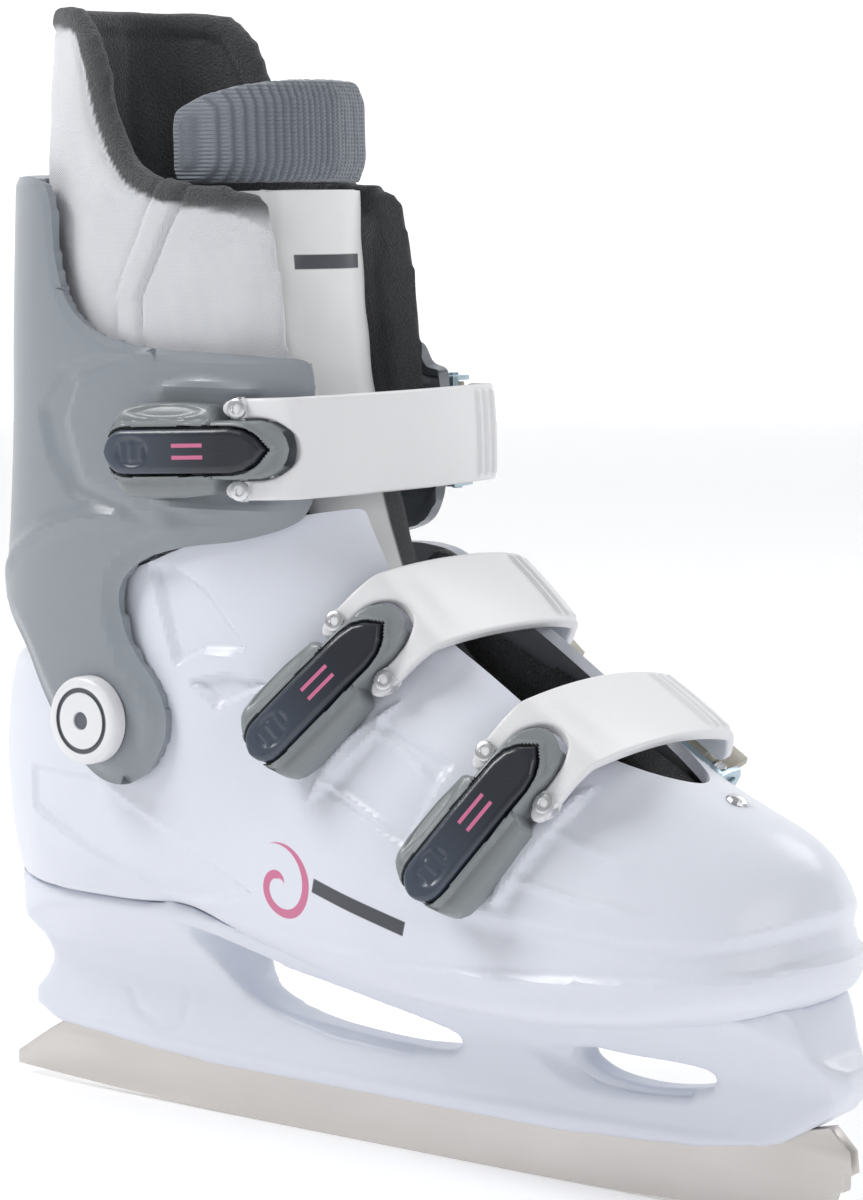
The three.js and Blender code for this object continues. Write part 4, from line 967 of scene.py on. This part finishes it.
def strap_line(name, matrix):
    """The strap's middle line, in u and n."""
    along, crest = BUCKLES[name]
    inner = matrix.inverted() @ mirrored(matrix)

    def far(u, n):
        place = inner @ (Vector((u, 0, n)) * MM)
        return np.array([place.x, place.z]) / MM

    bend = np.array([PIN_ALONG + 15.5, PIN_UP - 2.6])
    far_bend = far(PIN_ALONG + 16, PIN_UP - 3.6)
    rise = (far_bend - bend) / np.linalg.norm(far_bend - bend)
    top = (bend + far_bend) / 2 + np.array([-rise[1], rise[0]]) * crest
    points = [(PIN_ALONG - 5.5, PIN_UP), (PIN_ALONG, PIN_UP), (PIN_ALONG + 5, PIN_UP),
              (PIN_ALONG + 9, PIN_UP), bend, top, far_bend,
              far((PIN_ALONG + 16 + along + 6.8) / 2, PIN_UP - 1), far(along + 6.8, PIN_UP - 0.8)]
    return smooth_path(points, 600)


def strap_plan(length):
    """The strap laid flat: two rounded arms round a deep fork, and a rounded far end."""
    half, fork, depth = STRAP_HALF, 8.3, 22.0
    tip = [(4.6 - 4.4 * math.cos(t), half - 2.65 + 2.65 * math.sin(t))
           for t in np.radians(np.linspace(90, -90, 9))]
    arch = [(depth - 11 + 11 * math.sin(t), fork * math.cos(t))
            for t in np.radians(np.linspace(0, 180, 21))]
    end = [(length - 3 + 3 * math.sin(t), half - 3 + 3 * math.cos(t))
           for t in np.radians(np.linspace(0, 90, 6))]
    upper = end[::-1] + tip + arch[:10]
    lower = [(s, -w) for s, w in upper][::-1]
    return upper + [arch[10]] + lower


def make_strap(name, matrix):
    line = strap_line(name, matrix)
    lengths = distances(line)
    length = lengths[-1]
    strap = prism(name + "_strap_band", strap_plan(length), -1.5, 1.5, axis="z")
    finish_with(strap, "BEVEL", width=0.8 * MM, segments=3, limit_method="ANGLE",
                angle_limit=math.radians(60))
    work = bmesh.new()
    work.from_mesh(strap.data)
    plain = np.arange(1.5, length - 27, 1.5)
    ribs = np.arange(length - 27, length - 0.3, 0.45)
    slices = [((s * MM, 0, 0), (1, 0, 0)) for s in np.concatenate([plain, ribs])]
    slices += [((0, w * MM, 0), (0, 1, 0))
               for w in (-12.2, -11.2, -9.4, -6, -2, 2, 6, 9.4, 11.2, 12.2)]
    for place, facing in slices:
        geometry = work.verts[:] + work.edges[:] + work.faces[:]
        bmesh.ops.bisect_plane(work, geom=geometry, dist=1e-7, plane_co=place, plane_no=facing)
    work.to_mesh(strap.data)
    work.free()
    s, w, t = places(strap).T
    rib = np.clip(1.6 * np.cos((length - 4 - s) * 2 * np.pi / 4.4), -0.2, 1) * 0.8
    ribbed = step(length - 25, length - 23, s) * (1 - step(11.2, 12.2, np.abs(w)))
    crown = 0.5 * (1 - (w / STRAP_HALF) ** 2) * step(26, 34, s)
    t = t + np.where(t > 0.4, rib * ribbed + crown, 0)
    slope = np.gradient(line, axis=0)
    slope /= np.linalg.norm(slope, axis=1)[:, None]
    at = [np.interp(s, lengths, line[:, i]) for i in range(2)]
    du, dn = (np.interp(s, lengths, slope[:, i]) for i in range(2))
    set_places(strap, np.stack([at[0] - dn * t, w, at[1] + du * t], 1))
    for side in (-1, 1):
        boss = bar_across(2.9, PIN_ALONG, PIN_UP, 2.45)
        boss.data.transform(Matrix.Translation((0, side * ARM_MIDDLE * MM, 0)))
        join(strap, boss)
    strap.data.transform(matrix)
    outwards(strap)
    smooth_look(strap, 40)
    return settle(strap, name + "_strap", "strap_plastic", name + "_strap")


def lathe(name, profile, matrix, sides=64):
    """Turns a profile of radius and height round a local Z axis."""
    turns = np.arange(sides) / sides * 2 * np.pi
    rings = [np.stack([r * np.cos(turns), r * np.sin(turns), np.full(sides, h)], 1)
             for r, h in profile]
    piece = closed_loft(name, rings)
    piece.data.transform(matrix)
    return piece


def make_strap_eyelets(name, matrix):
    """Bright rings let into the strap's two arms."""
    profile = [(1.2, 1.0), (1.2, 1.75), (1.4, 1.95), (2.3, 1.95), (2.7, 1.7), (2.8, 1.0)]
    rings = []
    for side in (-1, 1):
        spot = Matrix.Translation(Vector((PIN_ALONG, side * ARM_MIDDLE, PIN_UP + 1.2)) * MM)
        rings.append(lathe(name + "_eyelet", profile, matrix @ spot, 32))
    eyelets = join(*rings)
    eyelets.name = name + "_strap_eyelets"
    smooth_look(eyelets, 40)
    return settle(eyelets, name + "_strap", "rivet_steel")


def make_cap(side, label):
    low, high = corners("pivot_cap_" + label)
    inner = min(abs(low[1]), abs(high[1]))
    outer = max(abs(low[1]), abs(high[1]))
    radius = (high[0] - low[0]) / 2
    profile = [(3.6, inner), (radius - 0.3, inner), (radius, inner + 0.4), (radius, outer - 1.2),
               (radius - 0.35, outer - 0.55), (radius - 1.1, outer - 0.15), (radius - 2.2, outer),
               (radius - 3.1, outer), (radius - 3.3, outer - 0.5), (radius - 4.1, outer - 0.5),
               (radius - 4.3, outer), (5.0, outer + 0.25), (2.6, outer + 0.3), (2.4, outer - 0.3),
               (0.3, outer - 0.35)]
    matrix = Matrix.Translation((pivot_x * MM, 0, pivot_z * MM)) @ Matrix.Rotation(
        math.radians(90 if side < 0 else -90), 4, "X")
    cap = lathe("ankle_cap_" + label, profile, matrix, 96)
    outwards(cap)
    smooth_look(cap, 35)
    return settle(cap, "shell", "strap_plastic", "pivot_cap_" + label)


def refined(node, width):
    """A frame node with its edges eased."""
    piece = copy_of(node, node + "_eased")
    finish_with(piece, "DECIMATE", decimate_type="DISSOLVE", angle_limit=math.radians(2))
    finish_with(piece, "BEVEL", width=width * MM, segments=2, limit_method="ANGLE",
                angle_limit=math.radians(35), use_clamp_overlap=True)
    smooth_look(piece, 30)
    return piece


def make_hardware(name):
    host = "cuff" if name == "top" else "shell"
    for part, width, body, slot in [
        ("catch_bracket", 0.35, host, "zinc_steel"),
        ("catch_lever", 0.5, name + "_catch_lever", "release_plastic"),
        ("base", 0.3, host, "lever_plastic"),
    ]:
        node = f"{name}_{part}"
        wear(settle(refined(node, width), body, slot, node), slot)


def mark(piece, name, values):
    """Stores one number per vertex for a material to read."""
    layer = piece.data.attributes.new(name, "FLOAT", "POINT")
    layer.data.foreach_set("value", np.asarray(values, np.float32))


# ---- materials ------------------------------------------------------------------------
class Value:
    """A node socket that can be calculated with."""

    def __init__(self, surface, socket):
        self.surface, self.socket = surface, socket

    def math(self, operation, *others):
        return self.surface.node("ShaderNodeMath", {"operation": operation}, [self, *others])

    def __add__(self, other):
        return self.math("ADD", other)

    def __sub__(self, other):
        return self.math("SUBTRACT", other)

    def __mul__(self, other):
        return self.math("MULTIPLY", other)

    def __rsub__(self, other):
        return (self * -1) + other

    __radd__, __rmul__ = __add__, __mul__


class Surface:
    """A procedural material and the nodes it is made of."""

    def __init__(self, name, colour, roughness, **fixed):
        self.material = bpy.data.materials.new(name)
        self.material.use_nodes = True
        self.tree = self.material.node_tree
        self.shader = self.tree.nodes["Principled BSDF"]
        self.set(Base_Color=(*colour, 1), Roughness=roughness, **fixed)
        self.place = self.node("ShaderNodeTexCoord", {}, [], "Object")

    def node(self, kind, settings, inputs, output=0, **named):
        node = self.tree.nodes.new(kind)
        for key, value in settings.items():
            setattr(node, key, value)
        for index, value in enumerate(inputs):
            self.feed(node.inputs[index], value)
        for key, value in named.items():
            self.feed(node.inputs[key.replace("_", " ")], value)
        return Value(self, node.outputs[output])

    def feed(self, socket, value):
        if isinstance(value, Value):
            self.tree.links.new(value.socket, socket)
        else:
            socket.default_value = value

    def set(self, **named):
        for key, value in named.items():
            self.feed(self.shader.inputs[key.replace("_", " ")], value)

    def axes(self):
        """X, Y and Z in millimetres."""
        split = self.node("ShaderNodeSeparateXYZ", {}, [self.place]).socket.node
        return [Value(self, output) * 1000 for output in split.outputs]

    def noise(self, scale, detail=3, stretch=None):
        place = self.place
        if stretch:
            place = self.node("ShaderNodeMapping", {}, [], Vector=place, Scale=stretch)
        return self.node("ShaderNodeTexNoise", {}, [], Vector=place, Scale=scale, Detail=detail)

    def between(self, value, low, high):
        """0 at low and 1 at high, smooth between."""
        settings = {"interpolation_type": "SMOOTHSTEP"}
        return self.node("ShaderNodeMapRange", settings, [value, low, high, 0, 1])

    def mix(self, factor, first, second):
        colours = [c if isinstance(c, Value) else (*c, 1) for c in (first, second)]
        mixed = self.node("ShaderNodeMix", {"data_type": "RGBA"}, [factor], 2)
        node = mixed.socket.node
        self.feed(node.inputs[6], colours[0])
        self.feed(node.inputs[7], colours[1])
        return mixed

    def bump(self, height, distance):
        self.set(Normal=self.node("ShaderNodeBump", {}, [], Height=height, Distance=distance * MM,
                                  Strength=1.0))

    def attribute(self, name):
        return self.node("ShaderNodeAttribute", {"attribute_name": name}, [], "Fac")


def plastic(name, colour, roughness, coat):
    """Moulded plastic: a fine grain, slow waves in its gloss and a faint mottle in its tone."""
    surface = Surface(name, colour, roughness, Coat_Weight=coat, Coat_Roughness=0.18)
    slow = surface.noise(28, 2)
    fine = surface.noise(1400, 2)
    darker = tuple(c * 0.95 for c in colour)
    surface.tone = surface.mix(slow, darker, colour)
    surface.set(Base_Color=surface.tone, Roughness=slow * 0.1 + (roughness - 0.05))
    surface.bump(fine + slow * 2, 0.05)
    return surface


def bar_mask(surface, x, z, centre, angle, half_length, half_width):
    """A straight bar in the XZ plane."""
    c, s = math.cos(math.radians(angle)), math.sin(math.radians(angle))
    dx, dz = x - centre[0], z - centre[1]
    along = (dx * c + dz * s).math("ABSOLUTE")
    across = (dz * c - dx * s).math("ABSOLUTE")
    inside = 1 - surface.between(across, half_width - 0.2, half_width + 0.2)
    return inside * (1 - surface.between(along, half_length - 0.2, half_length + 0.2))


def curl_mask(surface, x, z, centre, radius):
    """A simple drawn curl."""
    dx, dz = x - centre[0], z - centre[1]
    far = (dx * dx + dz * dz).math("SQRT")
    turn = dz.math("ARCTAN2", dx)
    wave = (turn - far * (7.5 / radius)).math("COSINE")
    line = surface.between(wave, 0.62, 0.74)
    return line * (1 - surface.between(far, radius - 0.4, radius)) * surface.between(far, 1.6, 2.2)


INK = (0.05, 0.055, 0.07)
PINK = (0.62, 0.16, 0.30)
FLEECE_DARK, FLEECE_LIGHT = (0.03, 0.032, 0.036), (0.10, 0.105, 0.11)


def shell_plastic():
    surface = plastic("white_shell_plastic", (0.76, 0.785, 0.86), 0.36, 0.2)
    x, y, z = surface.axes()
    outer = 1 - surface.between(y, -30, -26)
    curl = curl_mask(surface, x, z, (-9, 80), 12) * outer
    bar = bar_mask(surface, x, z, (20, 78), -13.5, 16.5, 2.0) * outer
    tone = surface.mix(curl, surface.tone, PINK)
    surface.set(Base_Color=surface.mix(bar, tone, INK))
    return surface.material


def strap_plastic():
    return plastic("white_strap_plastic", (0.83, 0.83, 0.845), 0.4, 0.12).material


def cap_plastic():
    surface = plastic("cap_plastic", (0.84, 0.845, 0.86), 0.3, 0.3)
    x, _, z = surface.axes()
    dx, dz = x - pivot_x, z - pivot_z
    far = (dx * dx + dz * dz).math("SQRT")
    ring = surface.between(far, 7.7, 8.1) * (1 - surface.between(far, 9.1, 9.5))
    dot = 1 - surface.between(far, 2.3, 2.6)
    surface.set(Base_Color=surface.mix(ring + dot, surface.tone, (0.10, 0.11, 0.13)))
    return surface.material


def cuff_plastic():
    return plastic("grey_cuff_plastic", (0.27, 0.295, 0.325), 0.36, 0.3).material


def lever_plastic():
    return plastic("grey_lever_plastic", (0.235, 0.255, 0.265), 0.36, 0.25).material


def button_plastic():
    surface = plastic("slate_button_plastic", (0.03, 0.035, 0.05), 0.3, 0.3)
    along, across = surface.attribute("along"), surface.attribute("across")
    # painted reflection: the button is painted lighter at its tail and darker towards its nose, standing in for
    # the sheen that light gives it
    tone = surface.mix(surface.between(along, 2, 40), (0.055, 0.07, 0.10), (0.013, 0.016, 0.024))
    row = 1 - surface.between((across.math("ABSOLUTE") - 1.6).math("ABSOLUTE"), 0.45, 0.6)
    length = surface.between(along, 24, 24.4) * (1 - surface.between(along, 33.6, 34))
    surface.set(Base_Color=surface.mix(row * length, tone, PINK))
    return surface.material


def release_plastic():
    return plastic("smoky_release_plastic", (0.40, 0.37, 0.31), 0.4, 0.2).material


def steel(name, colour, roughness, stretch):
    """Ground steel: long fine scratches one way."""
    surface = Surface(name, colour, roughness, Metallic=1.0)
    scratches = surface.noise(900, 4, stretch)
    slow = surface.noise(30, 2)
    surface.set(Base_Color=surface.mix(slow, tuple(c * 0.86 for c in colour), colour),
                Roughness=scratches * 0.22 + (roughness - 0.1) + slow * 0.06)
    surface.bump(scratches, 0.02)
    return surface.material


def weave(surface, size):
    """A plain weave from two crossed waves."""
    x, y, z = surface.axes()
    turn = 2 * math.pi / size
    first = ((x + y) * turn).math("SINE")
    second = (z * turn).math("SINE")
    return first * second


def liner_fabric():
    surface = Surface("liner_satin", (0.78, 0.79, 0.82), 0.55, Sheen_Weight=0.3)
    slow = surface.noise(45, 3)
    fleece = surface.attribute("fleece")
    hair = surface.noise(1500, 5)
    satin = surface.mix(slow, (0.70, 0.71, 0.75), (0.83, 0.84, 0.87))
    dark = surface.mix(hair, FLEECE_DARK, FLEECE_LIGHT)
    surface.set(Base_Color=surface.mix(fleece, satin, dark), Roughness=fleece * 0.4 + 0.5)
    woven = weave(surface, 0.7) * (1 - fleece)
    surface.bump(woven * 0.3 + hair * fleece * 3 + slow, 0.35)
    return surface.material


def fleece_cloth():
    surface = Surface("dark_fleece", (0.12, 0.12, 0.13), 0.92, Sheen_Weight=0.5)
    hair = surface.noise(1300, 5)
    surface.set(Base_Color=surface.mix(hair, FLEECE_DARK, FLEECE_LIGHT))
    surface.bump(hair, 0.6)
    return surface.material


def rib_knit():
    surface = Surface("rib_knit", (0.4, 0.42, 0.47), 0.85, Sheen_Weight=0.4)
    _, y, z = surface.axes()
    rib = (y * (2 * math.pi / KNIT_RIB)).math("SINE") * 0.5 + 0.5
    loop = (z * (2 * math.pi / 1.1)).math("SINE")
    hair = surface.noise(1600, 4)
    # painted shade: the knit is painted darker in the troughs of its ribs and lighter on their crests, in step
    # with the ribs raised on the tongue pad
    tone = surface.mix(rib, (0.085, 0.10, 0.125), (0.25, 0.28, 0.33))
    surface.set(Base_Color=surface.mix(hair * 0.4, tone, (0.27, 0.29, 0.33)))
    surface.bump(loop * rib + hair, 0.3)
    return surface.material


def vinyl():
    surface = Surface("tongue_vinyl", (0.82, 0.83, 0.83), 0.3, Sheen_Weight=0.1)
    x, y, z = surface.axes()
    high = surface.between(z, 197, 203)
    strip = (1 - surface.between(y, 0.5, 2.5)) * (1 - surface.between(x, 44, 48))
    white = (high + strip).math("MINIMUM", 1)
    hair = surface.noise(1300, 5)
    slow = surface.noise(60, 3)
    coated = surface.mix(slow, (0.76, 0.775, 0.78), (0.86, 0.865, 0.865))
    band = bar_mask(surface, y, z, (-2, 247), 0, 13, 2.0)
    coated = surface.mix(band, coated, (0.07, 0.075, 0.09))
    dark = surface.mix(hair, FLEECE_DARK, FLEECE_LIGHT)
    surface.set(Base_Color=surface.mix(white, dark, coated), Roughness=(1 - white) * 0.6 + 0.3)
    surface.bump(hair * (1 - white) * 2 + slow, 0.35)
    return surface.material


def floor_paint():
    surface = Surface("floor_paint", (0.86, 0.86, 0.87), 0.6, Emission_Color=(1, 1, 1, 1),
                      Emission_Strength=0.25)
    surface.set(Base_Color=surface.mix(surface.noise(3, 2), (0.84, 0.84, 0.85), (0.88, 0.88, 0.89)))
    return surface.material


def backdrop_paint():
    return Surface("backdrop_paint", (0.9, 0.9, 0.9), 0.9, Emission_Color=(0.93, 0.94, 0.95, 1),
                   Emission_Strength=0.55).material


MATERIALS = {
    "shell_plastic": shell_plastic(),
    "strap_plastic": strap_plastic(),
    "cap_plastic": cap_plastic(),
    "cuff_plastic": cuff_plastic(),
    "lever_plastic": lever_plastic(),
    "button_plastic": button_plastic(),
    "release_plastic": release_plastic(),
    "liner_fabric": liner_fabric(),
    "fleece": fleece_cloth(),
    "rib_knit": rib_knit(),
    "vinyl": vinyl(),
    "blade_steel": steel("blade_steel", (0.66, 0.63, 0.60), 0.34, (0.04, 1, 1)),
    "zinc_steel": steel("zinc_steel", (0.50, 0.62, 0.68), 0.36, (1, 1, 1)),
    "rivet_steel": steel("rivet_steel", (0.72, 0.73, 0.74), 0.28, (1, 1, 1)),
}


def wear(piece, slot):
    piece.data.materials.clear()
    piece.data.materials.append(MATERIALS[slot])


# ---- everything together --------------------------------------------------------------
def make_boot():
    wear(make_shell(), "shell_plastic")
    wear(make_cuff(), "cuff_plastic")
    wear(make_holder(), "shell_plastic")
    wear(make_blade(), "blade_steel")
    for side, label in ((-1, "lateral"), (1, "medial")):
        wear(make_cap(side, label), "cap_plastic")


def make_soft_parts():
    collar = make_collar()
    x, y, z = places(collar).T
    facing = normals(collar)
    outward = facing[:, 0] * (x - pivot_x - 12) + facing[:, 1] * y
    rim = 1 - step(6.6, 7.6, inside_depth(x, z, COLLAR_SIDE))
    rim *= step(cuff_height - 16, cuff_height - 6, z)
    medial_flap = step(6, 12, y) * step(pivot_x + 40, pivot_x + 46, x)
    mark(collar, "fleece", np.maximum.reduce([1 - step(-6, 3, outward), rim, medial_flap]))
    wear(collar, "liner_fabric")
    foot = make_liner_foot()
    mark(foot, "fleece", np.ones(len(foot.data.vertices)))
    wear(foot, "liner_fabric")
    wear(make_insole(), "fleece")
    wear(make_tongue(), "vinyl")
    wear(make_tongue_pad(), "rib_knit")


def make_buckle(name):
    matrix = buckle_frame(name)
    wear(make_lever(name, matrix), "lever_plastic")
    button = make_button(name, matrix)
    back = np.array(matrix.inverted())
    local = places(button) @ back[:3, :3].T + back[:3, 3] / MM
    mark(button, "along", local[:, 0])
    mark(button, "across", local[:, 1])
    wear(button, "button_plastic")
    wear(make_strap(name, matrix), "strap_plastic")
    wear(make_strap_eyelets(name, matrix), "rivet_steel")
    make_hardware(name)


def dress_frame():
    """The frame's own pieces whose shape is already right."""
    for row in frame["record"]["subparts"]:
        wear(frame["nodes"][row["node"]], row["material_slot"])


STAGE_SIZE = 12
LIGHTS = [
    ("key", (-0.9, -0.9, 1.4), 0.7, 17), ("fill", (1.5, -0.4, 0.8), 0.8, 5),
    ("back", (0.5, 1.2, 1.4), 0.8, 8),
]


def set_stage():
    bpy.ops.object.select_all(action="DESELECT")
    bpy.ops.mesh.primitive_plane_add(size=STAGE_SIZE)
    floor = bpy.context.active_object
    floor.name = "floor"
    floor.data.materials.append(floor_paint())
    bpy.ops.mesh.primitive_plane_add(size=STAGE_SIZE, location=(-1.9, 2.5, 0),
                                     rotation=(math.pi / 2, 0, math.radians(37)))
    backdrop = bpy.context.active_object
    backdrop.name = "backdrop"
    backdrop.data.materials.append(backdrop_paint())
    world = bpy.data.worlds.new("soft_room")
    world.use_nodes = True
    world.node_tree.nodes["Background"].inputs["Color"].default_value = (0.90, 0.91, 0.93, 1)
    world.node_tree.nodes["Background"].inputs["Strength"].default_value = 0.40
    bpy.context.scene.world = world
    bpy.context.scene.view_settings.view_transform = "Standard"
    for name, place, size, power in LIGHTS:
        light = bpy.data.lights.new(name, "AREA")
        light.energy, light.size = power, size
        lamp = bpy.data.objects.new(name, light)
        lamp.location = place
        aim = Vector((0, 0, 0.15)) - Vector(place)
        lamp.rotation_euler = aim.to_track_quat("-Z", "Y").to_euler()
        bpy.context.scene.collection.objects.link(lamp)


def set_camera():
    camera = bpy.data.cameras.new("camera")
    camera.lens = 109.5
    camera.sensor_width = 36
    rig = bpy.data.objects.new("camera", camera)
    rig.location = (0.608, -0.7935, 0.2682)
    aim = Vector((0.010, 0, 0.155)) - rig.location
    rig.rotation_euler = aim.to_track_quat("-Z", "Y").to_euler()
    bpy.context.scene.collection.objects.link(rig)
    bpy.context.scene.camera = rig


dress_frame()
make_boot()
make_soft_parts()
for buckle in BUCKLES:
    make_buckle(buckle)
set_stage()
set_camera()
